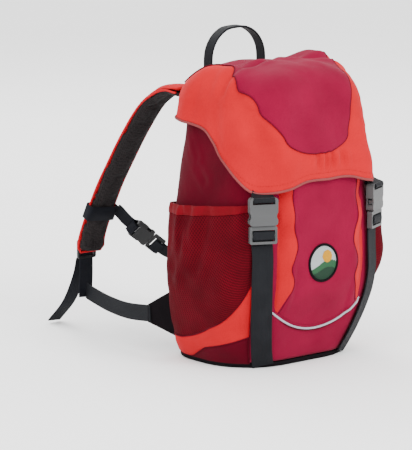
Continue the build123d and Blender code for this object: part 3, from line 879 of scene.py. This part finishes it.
def make_side_pockets():
    band = 0.925  # where the elastic begins, as a share of the pocket's height
    around = steps(SEAM_Q, BACK_Q, 96)
    for name, side in SIDES:
        rows = [[net_point(q, side, v) for q in around] for v in steps(0, band, 90)]
        net = cloth_sheet(f"net_{name}", rows, NET, 0.9 * MM, (0, 0, 0.1))
        place(net, "root", "net", f"side_pocket_{name}")
        rows = []
        for v in steps(band, 1, 9):
            swell = 0.5 * MM * math.sin(math.pi * (v - band) / (1 - band)) + 0.5 * MM
            rows.append([net_point(q, side, v, swell) for q in around])
        hem = cloth_sheet(f"elastic_{name}", rows, ELASTIC, 1.4 * MM, (0, 0, 0.1))
        place(hem, "root", "elastic", "pocket_bands")


# ---------------------------------------------------------------- lid

HEM = [
    (0, 0.219),
    (0.6, 0.219),
    (1.0, 0.2135),
    (1.28, 0.2085),
    (1.48, 0.2088),
    (1.62, 0.2145),
    (1.8, 0.227),
    (2.14, 0.252),
    (2.45, 0.270),
    (2.73, 0.277),
    (3.2, 0.281),
    (3.6, 0.284),
    (4.0, 0.298),
    (4.5, 0.312),
    (5, 0.3145),
]
LID_RIM_Z = 0.300


def lid_top(x, y):
    """Height of the lid's crown: a filled bag under it, pushed up into an ear at both sides."""
    z = 0.3415 + 4.5 * MM * math.exp(-((x / 0.045) ** 4) - ((y + 0.012) / 0.05) ** 2)
    for side, lift in ((-1, 12 * MM), (1, 23 * MM)):
        z += lift * math.exp(-(((x - side * 0.084) / 0.026) ** 2) - ((y - 0.010) / 0.034) ** 2)
        z -= 4.0 * MM * math.exp(-(((x - side * 0.040) / 0.014) ** 2) - ((y - 0.008) / 0.035) ** 2)
    return z - 3 * MM * smooth((y - 0.03) / 0.05)


def lid_skirt_out(q, x, z):
    """How far the lid's skirt stands off the bag: over the pocket in front, over the tabs, flared behind."""
    over_pocket = 13.5 * MM * smooth((0.080 - abs(x)) / 0.024) * smooth((1.6 - q) / 0.3)
    over_pocket *= 1 - 0.6 * smooth((z - 0.235) / 0.06)
    over_tab = 3.4 * MM * math.exp(-(((q - 1.30) / 0.36) ** 2)) * smooth((0.262 - z) / 0.03)
    flare = 9 * MM * math.exp(-(((q - 3.25) / 0.50) ** 2))
    return 4.8 * MM + over_pocket + over_tab + flare + 3.0 * MM * math.sin(math.pi * smooth((z - 0.2) / 0.14))


def lid_folds(p, side):
    """Folds of a lid pulled down by its straps: from each lobe to its tab, across the crown, and gathers."""
    lift = crease(p, (side * 0.086, -0.036, 0.318), (side * 0.086, -0.078, 0.262), 2.8 * MM, 9 * MM)
    lift += crease(p, (side * 0.070, -0.078, 0.262), (side * 0.080, -0.090, 0.226), 1.8 * MM, 6 * MM)
    lift += crease(p, (side * 0.100, 0.020, 0.318), (side * 0.101, 0.028, 0.290), 1.8 * MM, 7 * MM)
    lift += crease(p, (side * 0.100, -0.012, 0.300), (side * 0.101, -0.020, 0.262), 1.6 * MM, 7 * MM)
    above = Vector((p.x, p.y, 0))
    top = smooth((p.z - 0.305) / 0.015)
    depth = (4.6 + side) * MM
    lift += top * crease(above, (side * 0.022, -0.002, 0), (side * 0.105, -0.020, 0), depth, 6.5 * MM)
    band = smooth((0.252 - p.z) / 0.006) * smooth((p.z - 0.226) / 0.012)
    gathers = band * smooth((0.036 - abs(p.x - 0.006)) / 0.015) * smooth((-0.05 - p.y) / 0.02)
    lift += gathers * 2.8 * MM * math.sin(p.x / 0.0021 + 1.4 * math.sin(p.x / 0.007))
    return lift


def lid_surface(q, side, t):
    """t 0 to 1 up the skirt, 1 to 2 over the crown."""
    hem = curve_through(HEM, q)
    rim = max(LID_RIM_Z, hem + 3 * MM)
    if t <= 1:
        z = blend_between(hem, rim, t)
        p, n = outline(q, side, z)
        p = p + n * lid_skirt_out(q, p.x, z)
    else:
        p, n = outline(q, side, rim)
        p = p + n * lid_skirt_out(q, p.x, rim)
        share = math.cos((t - 1) * math.pi / 2) ** 0.75
        centre = Vector((0, 0.004, rim))
        flat = centre + (p - centre) * share
        rise = (1 - share ** 4.5) ** 0.55
        p = Vector((flat.x, flat.y, rim + (lid_top(flat.x, flat.y) - rim) * rise))
        n = (n * share + Vector((0, 0, 1)) * (1 - share ** 3)).normalized()
    slack = rumple(p, 0.065, 3.2 * MM, 31) + rumple(p, 0.028, 1.5 * MM, 32) + rumple(p, 0.012, 0.4 * MM, 33)
    still = 1 - 0.75 * smooth((q - 4.2) / 0.5) * (1 if t <= 1.2 else 0)
    return p + n * (slack * still + lid_folds(p, side))


def lid_rows():
    half = [5 * (k / 84) for k in range(85)]
    around = [(q, -1) for q in half] + [(q, 1) for q in reversed(half[1:-1])]
    heights = [*steps(0, 1, 34), *[1 + s for s in steps(0.02, 0.9995, 48)]]
    return [[lid_surface(q, side, t) for q, side in around] for t in heights]


def make_lid():
    rows = lid_rows()
    lid = outward(grid("lid_shell", rows, CORAL, wrap=True), (0, 0, 0.25))
    bm = bmesh.new()
    bm.from_mesh(lid.data)
    open_edges = [e for e in bm.edges if e.is_boundary and (e.verts[0].co + e.verts[1].co).z / 2 > 0.33]
    bmesh.ops.contextual_create(bm, geom=open_edges)
    bmesh.ops.triangulate(bm, faces=[f for f in bm.faces if len(f.verts) > 4])
    bm.to_mesh(lid.data)
    bm.free()
    lid.data.shade_smooth()
    tree = BVHTree.FromPolygons([v.co for v in lid.data.vertices], [p.vertices for p in lid.data.polygons])
    solid = lid.modifiers.new("thick", "SOLIDIFY")
    solid.thickness = SHELL_THICK
    solid.offset = -1
    apply_modifiers(lid)
    to_lid(lid, "coral_fabric", "lid_cover")
    hem = rows[0]
    binding = cord_along("lid_binding", hem, 1.5 * MM, BINDING, 8, True)
    to_lid(binding, "coral_fabric")
    around = len(hem)
    run = []
    for i in range(around + 1):
        p, above = rows[3][i % around], rows[4][i % around]
        ahead = rows[3][(i + 1) % around]
        normal = (ahead - p).cross(above - p).normalized()
        normal = normal if normal.dot(Vector((p.x, p.y, 0))) > 0 else -normal
        run.append((p + normal * 0.2 * MM, normal))
    to_lid(stitches("lid_hem_stitches", run, CORAL_THREAD), "coral_fabric")
    make_lid_panel(tree)
    return tree


def to_lid(obj, slot, *replaced):
    """A lid piece: hides the CAD nodes it stands for and bakes its transform into its mesh."""
    if replaced:
        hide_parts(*replaced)
    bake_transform(obj)
    return obj


PANEL_LOW_Z = 0.249
PANEL_TURN_Z = 0.270
PANEL_SIDES = [  # degrees over the lid from level front, and how far the panel reaches to its left and right
    (-2, 0.060, 0.037),
    (9, 0.070, 0.044),
    (18, 0.0765, 0.046),
    (28, 0.079, 0.049),
    (45, 0.084, 0.056),
    (60, 0.084, 0.064),
    (75, 0.076, 0.072),
    (90, 0.062, 0.078),
    (112, 0.074, 0.084),
    (140, 0.084, 0.086),
]


def panel_sides(z, angle):
    """The centre panel's two edges: a round U in front, then leaning across the crown."""
    at = math.degrees(angle)
    left = curve_through([(degrees, reach) for degrees, reach, _ in PANEL_SIDES], at)
    right = curve_through([(degrees, reach) for degrees, _, reach in PANEL_SIDES], at)
    down = min(max((PANEL_TURN_Z - z) / (PANEL_TURN_Z - PANEL_LOW_Z), 0.0), 1.0)
    half = (left + right) / 2 * math.sqrt(1 - down * down)
    return (right - left) / 2 - half, (right - left) / 2 + half


def on_lid(tree, x, angle):
    """The lid's surface where a ray in the upright plane at x leaves the middle of the bag at an angle from
    level front, over the top, to the back."""
    start = Vector((x, 0.0, 0.272))
    way = Vector((0, -math.cos(angle), math.sin(angle)))
    hit, normal = tree.ray_cast(start, way)[:2]
    if hit is None:
        return start + way * 0.07, way
    return hit, normal if normal.dot(way) > 0 else -normal


def panel_row(tree, angle, count, out):
    middle, n = on_lid(tree, 0, angle)
    row = []
    for x in steps(*panel_sides(middle.z, angle), count):
        p, n = on_lid(tree, x, angle)
        row.append((p + n * out, n))
    return row


def make_lid_panel(tree):
    low = math.radians(-16.5)
    while on_lid(tree, 0, low)[0].z < PANEL_LOW_Z + 0.3 * MM:
        low += math.radians(0.1)
    high = math.radians(140)
    angles = [blend_between(low, high, (k / 130) ** 1.9) for k in range(131)]
    table = [panel_row(tree, a, 61, 1.0 * MM) for a in angles]
    rows = [[p + n * puff(i, j) for j, (p, n) in enumerate(row)] for i, row in enumerate(table)]
    panel = cloth_sheet("lid_panel_cloth", rows, RASPBERRY, 0.9 * MM, (0, 0, 0.25))
    to_lid(panel, "raspberry_fabric", "lid_panel")
    edge = [row[0][0] for row in reversed(table)]
    edge += [p for p, n in table[0][1:-1]] + [row[-1][0] for row in table]
    to_lid(cord_along("lid_panel_seam", edge, 0.5 * MM, SEAM_RED), "crimson_fabric")


def puff(i, j):
    """The panel stands a little proud between its seams."""
    across = 1 - abs(2 * j / 60 - 1) ** 6
    return 1.4 * MM * across * smooth(i / 30)


def make_lid_seam():
    low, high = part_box("lid_seam")
    rows = []
    for v in steps(0, 1, 8):
        z = blend_between(low.z, high.z - 0.6 * MM, v)
        y = profile_at(z)[1] / 2 + profile_at(z)[2] + blend_between(0.8, 4.6, v ** 1.5) * MM
        rows.append([Vector((x, y, z)) for x in steps(low.x, high.x, 40)])
    seam = cloth_sheet("lid_seam_cloth", rows, CRIMSON, 1.1 * MM, (0, 0, 0.3))
    place(seam, "root", "black_fabric", "lid_seam")


def make_haul_loop():
    low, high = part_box("haul_loop")
    half, top = high.x - 1.3 * MM, high.z - 1.3 * MM
    y = (low.y + high.y) / 2
    foot = 0.326
    arch = 37 * MM
    sides = [(half, y, foot), (half, y, (foot + top - arch) / 2)]
    over = []
    for degrees in range(0, 181, 15):
        c, s = math.cos(math.radians(degrees)), math.sin(math.radians(degrees))
        over.append((math.copysign(half - arch + arch * abs(c), c), y, top - arch + arch * s))
    points = [*sides, *over, *[(-x, py, z) for x, py, z in reversed(sides)]]
    loop = webbing("haul_webbing", points, (0, 1, 0), high.y - low.y, 2.2 * MM, SLATE_WEB, 90)
    place(loop, "haul", "webbing", "haul_loop")


# ---------------------------------------------------------------- front straps and buckles


FRONT_WEB = 25 * MM
HARNESS_WEB = 20 * MM
WEB_THICK = 1.5 * MM
# Webbing runs in the plane across a front strap: (mm out from the strap's line, mm up)
BUCKLE_WRAP = [
    (2.2, 151.2),
    (2.2, 160),
    (2.3, 164.2),
    (3.4, 165.8),
    (6.2, 166.0),
    (9.0, 165.8),
    (10.1, 164),
    (10.2, 161),
    (10.0, 158.6),
    (8.8, 157.4),
    (6.8, 157.3),
]
LID_TAB = [
    (-7.2, 225),
    (-6.4, 219),
    (-4.6, 213),
    (-1.2, 206),
    (0.3, 200.9),
    (2.4, 199.7),
    (8.5, 199.6),
    (11.2, 200.2),
    (11.9, 202.2),
    (9.8, 204.6),
    (5.0, 206.2),
    (0.2, 208.4),
    (-3.0, 212.5),
    (-5.2, 219),
    (-5.9, 225),
]
# The strap's lower run: (mm off the bag's cloth, mm up)
STRAP_LIES = [(4.2, 132), (4.4, 104), (4.4, 78), (4.2, 54), (4.0, 32), (3.2, 14), (2.7, 3.2)]


def tab_taper(t):
    """The tab narrows at both ends, where the lid hides it."""
    return 0.6 + 0.4 * smooth(min(t, 1 - t) / 0.28), 1.0


def make_front_straps():
    strap_q = 1 + STRAP_ANGLE / (math.pi / 2)
    for name, side in SIDES:
        foot, across, out = strap_line(side)
        at = lambda n, z: foot + out * (n * MM) + Vector((0, 0, z * MM))
        run = [at(2.3, 150.5)]
        run += [outline(strap_q, side, z * MM)[0] + out * (gap * MM) for gap, z in STRAP_LIES]
        web = webbing(f"front_strap_{name}", run, across, FRONT_WEB, WEB_THICK, SLATE_WEB, 80)
        place(web, "root", "webbing", f"front_webbing_{name}")
        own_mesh(web)
        loop = [at(n, z) for n, z in BUCKLE_WRAP]
        wrap = webbing(f"buckle_webbing_{name}", loop, across, FRONT_WEB, WEB_THICK, SLATE_WEB)
        place(wrap, f"buckle_{name}", "webbing", f"front_loop_{name}")
        tab = [at(n, z) for n, z in LID_TAB]
        tongue = webbing(
            f"lid_tab_webbing_{name}", tab, across, FRONT_WEB, WEB_THICK, SLATE_WEB, 80, tab_taper
        )
        place(tongue, "lid", "webbing", f"lid_tab_{name}")


# ---------------------------------------------------------------- shoulder harness

# Points in millimetres on the right side, mirrored for the left
SHOULDER = [
    (68, 77.5, 308),
    (68, 94, 309.5),
    (68, 114, 303),
    (69, 140, 286),
    (72, 167, 252),
    (75, 191, 215),
    (79, 213, 176),
    (84, 236, 122),
    (85, 240, 98),
]
KEEPER_FROM, KEEPER_TO = SHOULDER[6:8]  # the sternum strap's keepers sit midway between these
WING_TIP = Vector((110, 97, 47)) * MM
FOLD = Vector((93, 238, 50)) * MM
TAIL = [(86, 254.5, 88), (87.5, 261, 64), (91, 277, 31), (95, 303, 3)]


def mirrored(points, side):
    return [Vector((side * x, y, z)) * MM for x, y, z in points]


def pad_outline(half, low, high, pinch, count=18):
    """A sewn pad in section: crowned faces and thin edges. low is the outer face and high the lining."""
    upper = []
    lower = []
    for k in range(count + 1):
        a = -1 + 2 * k / count
        crown = (1 - abs(a) ** 4.5) ** 0.6
        groove = math.exp(-((a / 0.11) ** 2))
        upper.append((a * half, pinch + (high - pinch) * crown * (1 - 0.55 * groove)))
        lower.append((a * half, -pinch + (low + pinch) * crown))
    return upper, lower


def strap_taper(t):
    """The strap is a little narrower at the bag, and rounded off at its lower end."""
    return (1 - smooth((t - 0.965) / 0.035) * 0.22) * (1 - 0.10 * math.exp(-((t / 0.12) ** 2)))


def half_pad(name, line, face, keep, material):
    """One face of the padding as its own closed shell."""
    rings = []
    for i, p in enumerate(line):
        along = (line[min(i + 1, len(line) - 1)] - line[max(i - 1, 0)]).normalized()
        side = Vector((1, 0, 0))
        side = (side - along * side.dot(along)).normalized()
        normal = side.cross(along).normalized()
        normal = normal if normal.z + normal.y > 0 else -normal
        t = i / (len(line) - 1)
        narrow = strap_taper(t)
        ripple = 1 + 0.05 * noise.noise(p * 45)
        rings.append([p + side * (a * narrow) - normal * (b * keep(t) * ripple) for a, b in face])
    return closed_tube(name, rings, material)


STRAP_HALF = 19.5 * MM


def fill_with_air(obj, held, cap=2.2 * MM):
    """Sews the shell as cloth and blows it up a little. held says which points the seams keep in place."""
    voxels = obj.modifiers.new("even", "REMESH")
    voxels.mode = "VOXEL"
    voxels.voxel_size = 3.5 * MM
    apply_modifiers(obj)
    before = [v.co.copy() for v in obj.data.vertices]
    pins = obj.vertex_groups.new(name="seams")
    pins.add([i for i, p in enumerate(before) if held(p)], 1.0, "REPLACE")
    cloth_ = obj.modifiers.new("cloth", "CLOTH")
    cloth_.settings.vertex_group_mass = pins.name
    cloth_.settings.use_pressure = True
    cloth_.settings.uniform_pressure_force = 4
    cloth_.settings.effector_weights.gravity = 0
    cloth_.settings.mass = 0.2
    cloth_.settings.tension_stiffness = 12
    cloth_.settings.compression_stiffness = 12
    cloth_.settings.bending_stiffness = 0.4
    cloth_.settings.shrink_min = -0.03
    for frame_number in range(1, 21):
        bpy.context.scene.frame_set(frame_number)
    blown = obj.evaluated_get(bpy.context.evaluated_depsgraph_get()).data
    after = [v.co.copy() for v in blown.vertices]
    obj.modifiers.clear()
    obj.vertex_groups.clear()
    bpy.context.scene.frame_set(1)
    for v, start, end in zip(obj.data.vertices, before, after):
        move = end - start
        v.co = start + move * min(1.0, cap / max(move.length, 1e-9))
    smoother = obj.modifiers.new("smooth", "SUBSURF")
    smoother.levels = 1
    apply_modifiers(obj)
    obj.data.shade_smooth()
    return obj


def beyond_line(line, reach):
    """A test for points farther than reach from the whole line, such as the seams at a strap's edges."""
    return lambda p: min((p - q).length_squared for q in line) > reach * reach


def make_shoulder_straps():
    for name, side in SIDES:
        line = line_through(mirrored(SHOULDER, side), 90)
        line[0:0] = [line[0] + Vector((0, -3.0 * MM, 0.4 * MM))]
        upper, lower = pad_outline(STRAP_HALF, -5.6 * MM, 5.6 * MM, 0.7 * MM)
        keep = lambda t: 0.9 + 0.1 * math.sin(math.pi * t)
        middle = [(a, 0.0) for a, b in reversed(upper)]
        lining = half_pad(f"strap_lining_cloth_{name}", line, upper + middle, keep, SPACER)
        cover = half_pad(f"strap_cover_cloth_{name}", line, [(a, b) for a, b in lower] + middle, keep, CORAL)
        seams = beyond_line(line, STRAP_HALF - 2.5 * MM)
        fill_with_air(lining, seams)
        fill_with_air(cover, seams)
        place(lining, f"strap_{name}", "spacer_mesh", f"strap_lining_{name}", f"strap_foam_{name}")
        place(cover, f"strap_{name}", "coral_fabric", f"strap_cover_{name}")
        for edge in (-1, 1):
            run = []
            for i, p in enumerate(line):
                t = i / (len(line) - 1)
                run.append(p + Vector((edge * STRAP_HALF * strap_taper(t), 0, 0)))
            which = "outer" if edge * side > 0 else "inner"
            bind = cord_along(f"strap_edge_{name}_{which}", run, 1.3 * MM, CORAL)
            place(bind, f"strap_{name}", "coral_fabric")
        tip = [line[-1] + Vector((x * STRAP_HALF * 0.78, 0, 0)) for x in steps(-1, 1, 12)]
        end = cord_along(f"strap_end_{name}", tip, 1.3 * MM, CORAL)
        place(end, f"strap_{name}", "coral_fabric")
        holder = mirrored([(85, 244.6, 126), (85, 246.6, 118), (85, 247.6, 112), (85, 248.4, 108.6)], side)
        strip = webbing(f"ladder_webbing_{name}", holder, (1, 0, 0), HARNESS_WEB, WEB_THICK, DARK_WEB, 24)
        place(strip, f"strap_{name}", "webbing")


RISE = [(94, 239, 42), (93, 240.2, 54), (88.5, 244.6, 72), (85.5, 248.4, 94), (85, 248.2, 99)]


def make_lower_harness():
    for name, side in SIDES:
        fold = Vector((side * FOLD.x, FOLD.y, FOLD.z))
        tip = Vector((side * WING_TIP.x, WING_TIP.y, WING_TIP.z))
        sag = Vector((side * 2 * MM, 0, -5 * MM))
        run = [tip + Vector((-side * 1.0 * MM, -4 * MM, 0))]
        run += [tip + (fold - tip) * share + sag * drop for share, drop in ((0.3, 1), (0.62, 1), (0.92, 0.3))]
        run.append(fold)
        level_web = webbing(f"lower_strap_{name}", run, (0, 0, 1), HARNESS_WEB, WEB_THICK, SLATE_WEB, 70)
        rise = mirrored(RISE, side)
        rise_web = webbing(f"rise_{name}", rise, (1, 0, 0), HARNESS_WEB, WEB_THICK, DARK_WEB, 50)
        both = join([level_web, rise_web], f"lower_webbing_cloth_{name}")
        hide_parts(f"lower_webbing_{name}")
        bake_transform(both)
        hang = mirrored(TAIL, side)
        tail = webbing(f"tail_webbing_{name}", hang, (1, 0, 0), HARNESS_WEB, WEB_THICK, DARK_WEB)
        place(tail, f"tail_{name}", "webbing", f"strap_tail_{name}")
        make_wing(name, side, tip)


def make_wing(name, side, tip):
    """A black triangle of cloth from the back seam to the lower webbing."""
    rows = []
    for t in steps(0, 1, 26):
        z0, z1 = blend_between(0.021, tip.z - 10.6 * MM, t), blend_between(0.078, tip.z + 10.6 * MM, t)
        row = []
        for v in steps(0, 1, 22):
            root, n = outline(3.5, side, blend_between(0.021, 0.078, v))
            end = Vector((tip.x, tip.y, 0))
            p = blend_between(root + n * 0.5 * MM, end, t)
            p_x = p.x + side * rumple(p, 0.02, 0.8 * MM, 41)
            row.append(Vector((p_x, p.y, blend_between(z0, z1, v))))
        rows.append(row)
    wing = cloth_sheet(f"wing_cloth_{name}", rows, BLACK, 1.8 * MM, (0, 0.05, 0.05))
    place(wing, "root", "black_fabric", f"wing_{name}")


def make_keepers():
    """A flat loop of webbing round each shoulder strap, for the sternum strap to slide on."""
    for name, side in SIDES:
        p0, p1 = mirrored([KEEPER_FROM, KEEPER_TO], side)
        middle, along = (p0 + p1) / 2, (p1 - p0).normalized()
        across = (Vector((1, 0, 0)) - along * along.x).normalized()
        out = along.cross(across).normalized()
        ring = []
        w, h = STRAP_HALF + 1.6 * MM, 6.6 * MM
        for k in range(64):
            turn = 2 * math.pi * k / 64
            c, s = math.cos(turn), math.sin(turn)
            x = w * math.copysign(abs(c) ** 0.30, c)
            y = h * math.copysign(abs(s) ** 0.45, s)
            ring.append(middle + across * x + out * y)
        section = [(-9.6, 0), (-9.2, 0.7), (9.2, 0.7), (9.6, 0), (9.2, -0.7), (-9.2, -0.7), (-9.6, 0)]
        loop = []
        for k, p in enumerate(ring):
            normal = (ring[(k + 1) % 64] - ring[k - 1]).normalized().cross(along).normalized()
            loop.append([p + along * (s * MM) + normal * (t * MM) for s, t in section])
        band = grid(f"keeper_{name}", [*loop, loop[0]], DARK_WEB)
        place(outward(band, middle), "sternum", "webbing", "sternum_keepers")


STERNUM_WEB = 19.5 * MM
STERNUM_SAG = Vector((0, -0.6, -0.8))
BUCKLE_MIDDLE = (-26.7, 46.4)
BUCKLE_WAY = (-0.623, -0.782)
# (mm towards the wearer's right, mm down the sag)
STERNUM_LEFT_END = [(-57, -1), (-54, 4), (-49, 15)]
STERNUM_RIGHT = [
    (-16.4, 59.2),
    (-12.4, 63.8),
    (-4, 70),
    (9, 73),
    (24, 67),
    (38, 49),
    (48, 26),
    (54, 4),
    (57, -1),
]
# (mm along the buckle, mm off its middle plane)
LEFT_THREAD = [
    (30, 1.6),
    (26, 4.2),
    (22.4, 4.4),
    (20.9, 1.5),
    (20.9, -1.5),
    (22.4, -4.4),
    (26, -4.4),
    (31, -1.6),
]
RIGHT_THREAD = [
    (-18, -3.0),
    (-14, -2.9),
    (-12.3, 0),
    (-11.3, 3.0),
    (-9.2, 3.4),
    (-7.1, 3.0),
    (-5.9, 0),
    (-7.2, -3.2),
    (-12, -3.9),
    (-18, -4.3),
]


def sternum_at(u, v):
    """A point in the plane the sternum strap hangs in."""
    start, end = mirrored([KEEPER_FROM, KEEPER_TO], 1)
    centre = (start + end) / 2
    return Vector((u * MM, centre.y, centre.z)) + STERNUM_SAG * (v * MM)


def by_buckle(along, off):
    (x, down), (way_x, way_down) = BUCKLE_MIDDLE, BUCKLE_WAY
    return sternum_at(x + along * way_x - off * way_down, down + along * way_down + off * way_x)


def make_sternum_webs():
    wide = Vector((1, 0, 0)).cross(STERNUM_SAG)
    left = [sternum_at(u, v) for u, v in STERNUM_LEFT_END] + [by_buckle(v, n) for v, n in LEFT_THREAD]
    web = webbing("sternum_left_webbing", left, wide, STERNUM_WEB, 1.4 * MM, DARK_WEB)
    place(web, "sternum", "webbing", "sternum_web_left")
    wrap = [by_buckle(v, n) for v, n in RIGHT_THREAD]
    web = webbing("sternum_wrap_webbing", wrap, wide, STERNUM_WEB, 1.2 * MM, DARK_WEB, 50)
    place(web, "sternum_buckle", "webbing")
    right = [sternum_at(u, v) for u, v in STERNUM_RIGHT]
    web = webbing("sternum_right_webbing", right, wide, STERNUM_WEB, 1.4 * MM, DARK_WEB, 70)
    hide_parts("sternum_web_right")
    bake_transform(web)


# ---------------------------------------------------------------- back


def closed_cushion(name, front, back, material):
    """Two sheets of the same grid, sewn together round their edge."""
    outer = grid(name, front, material)
    inner = grid(name + "_back", back, material)
    pad = join([outer, inner], name)
    bm = bmesh.new()
    bm.from_mesh(pad.data)
    bmesh.ops.remove_doubles(bm, verts=bm.verts, dist=0.1 * MM)
    bmesh.ops.bridge_loops(bm, edges=[e for e in bm.edges if e.is_boundary])
    bmesh.ops.recalc_face_normals(bm, faces=bm.faces)
    bm.to_mesh(pad.data)
    bm.free()
    pad.data.shade_smooth()
    return pad


def make_back_pads():
    for name, _ in SIDES:
        low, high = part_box(f"back_pad_{name}")
        size, middle = high - low, (low + high) / 2
        rows = []
        for i in range(61):
            v = -1 + 2 * i / 60
            row = []
            for j in range(27):
                u = -1 + 2 * j / 26
                x = u * math.sqrt(1 - 0.5 * v ** 12) * size.x / 2
                z = v * math.sqrt(1 - 0.35 * u ** 6) * size.z / 2
                crown = ((1 - abs(u) ** 3.2) * (1 - abs(v) ** 14)) ** 0.55
                quilt = 1 - 0.28 * math.exp(-((math.sin(v * 7.5) / 0.22) ** 2))
                back = profile_at(middle.z + z)
                wall = back[2] + back[1] / 2 + 0.6 * MM
                out = max(low.y, wall) + (size.y - 0.6 * MM) * max(crown, 0) * quilt
                out += rumple(Vector((x, 0, z)), 0.02, 0.5 * MM, 51)
                row.append(Vector((middle.x + x, out, middle.z + z)))
            rows.append(row)
        flat = [[Vector((p.x, low.y + 0.4 * MM, p.z)) for p in row] for row in rows]
        pad = closed_cushion(f"back_cushion_{name}", rows, flat, SPACER)
        fill_with_air(pad, lambda p: p.y < low.y + 1.5 * MM, 1.6 * MM)
        place(pad, "root", "spacer_mesh", f"back_pad_{name}")


# ---------------------------------------------------------------- carried-over CAD nodes


def carry_over():
    """Hard parts keep their CAD shape and get finished materials."""
    looks = {"eyelets": METAL, "back_sheet": FOAM}
    for name, _ in SIDES:
        for half in ("front_female", "front_male", "front_prong_a", "front_prong_b"):
            looks[f"{half}_{name}"] = BUCKLE
        looks[f"ladder_lock_{name}"] = DARK_BUCKLE
    for half in ("female", "male", "prong_a", "prong_b"):
        looks[f"sternum_{half}"] = DARK_BUCKLE
    for node, material in looks.items():
        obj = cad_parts[node]
        for slot_ in obj.material_slots:
            slot_.material = material
        bevel = obj.modifiers.new("soft edges", "BEVEL")
        bevel.width = 0.5 * MM
        bevel.segments = 2
        bevel.limit_method = "ANGLE"
        bevel.angle_limit = math.radians(40)


# ---------------------------------------------------------------- stage


def make_stage():
    bpy.ops.mesh.primitive_plane_add(size=12, location=(0, 0, -0.2 * MM))
    floor = bpy.context.object
    floor.name = "floor"
    n = Nodes("pale_floor")
    n.link(n.mix(n.noise(3, 2), (0.93, 0.93, 0.93), (0.90, 0.90, 0.90)), n.shader.inputs["Base Color"])
    n.shader.inputs["Roughness"].default_value = 0.9
    floor.data.materials.append(n.material)
    world = bpy.data.worlds.new("studio")
    bpy.context.scene.world = world
    world.use_nodes = True
    world.node_tree.nodes["Background"].inputs[0].default_value = (1, 1, 1, 1)
    world.node_tree.nodes["Background"].inputs[1].default_value = 2.3
    area_light("key", (0.3, -2.4, 2.0), 75, 1.3)
    area_light("side", (-2.3, -0.6, 1.6), 30, 1.6)
    area_light("rim", (0.6, 2.0, 2.0), 40, 1.4)


def area_light(name, place_, power, size):
    light = bpy.data.lights.new(name, "AREA")
    light.energy = power
    light.size = size
    obj = bpy.data.objects.new(name, light)
    obj.location = place_
    obj.rotation_euler = (Vector((0, 0, 0.15)) - obj.location).to_track_quat("-Z", "Y").to_euler()
    bpy.context.scene.collection.objects.link(obj)


def make_camera():
    azimuth, elevation = math.radians(-40), math.radians(10)
    target = Vector((-0.060, 0.050, 0.153))
    flat = math.cos(elevation)
    way = Vector((math.sin(azimuth) * flat, -math.cos(azimuth) * flat, math.sin(elevation)))
    lens = 200
    view_height = 0.526
    data = bpy.data.cameras.new("camera")
    data.lens = lens
    data.sensor_width = 36
    camera = bpy.data.objects.new("camera", data)
    camera.location = target + way * (view_height * lens / data.sensor_width)
    camera.rotation_euler = (-way).to_track_quat("-Z", "Y").to_euler()
    bpy.context.scene.collection.objects.link(camera)
    bpy.context.scene.camera = camera


make_camera()
make_stage()
make_bag()
make_base()
make_collar()
make_pocket()
make_badge()
make_side_pockets()
make_lid()
make_lid_seam()
make_haul_loop()
make_front_straps()
make_shoulder_straps()
make_lower_harness()
make_keepers()
make_sternum_webs()
make_back_pads()
carry_over()
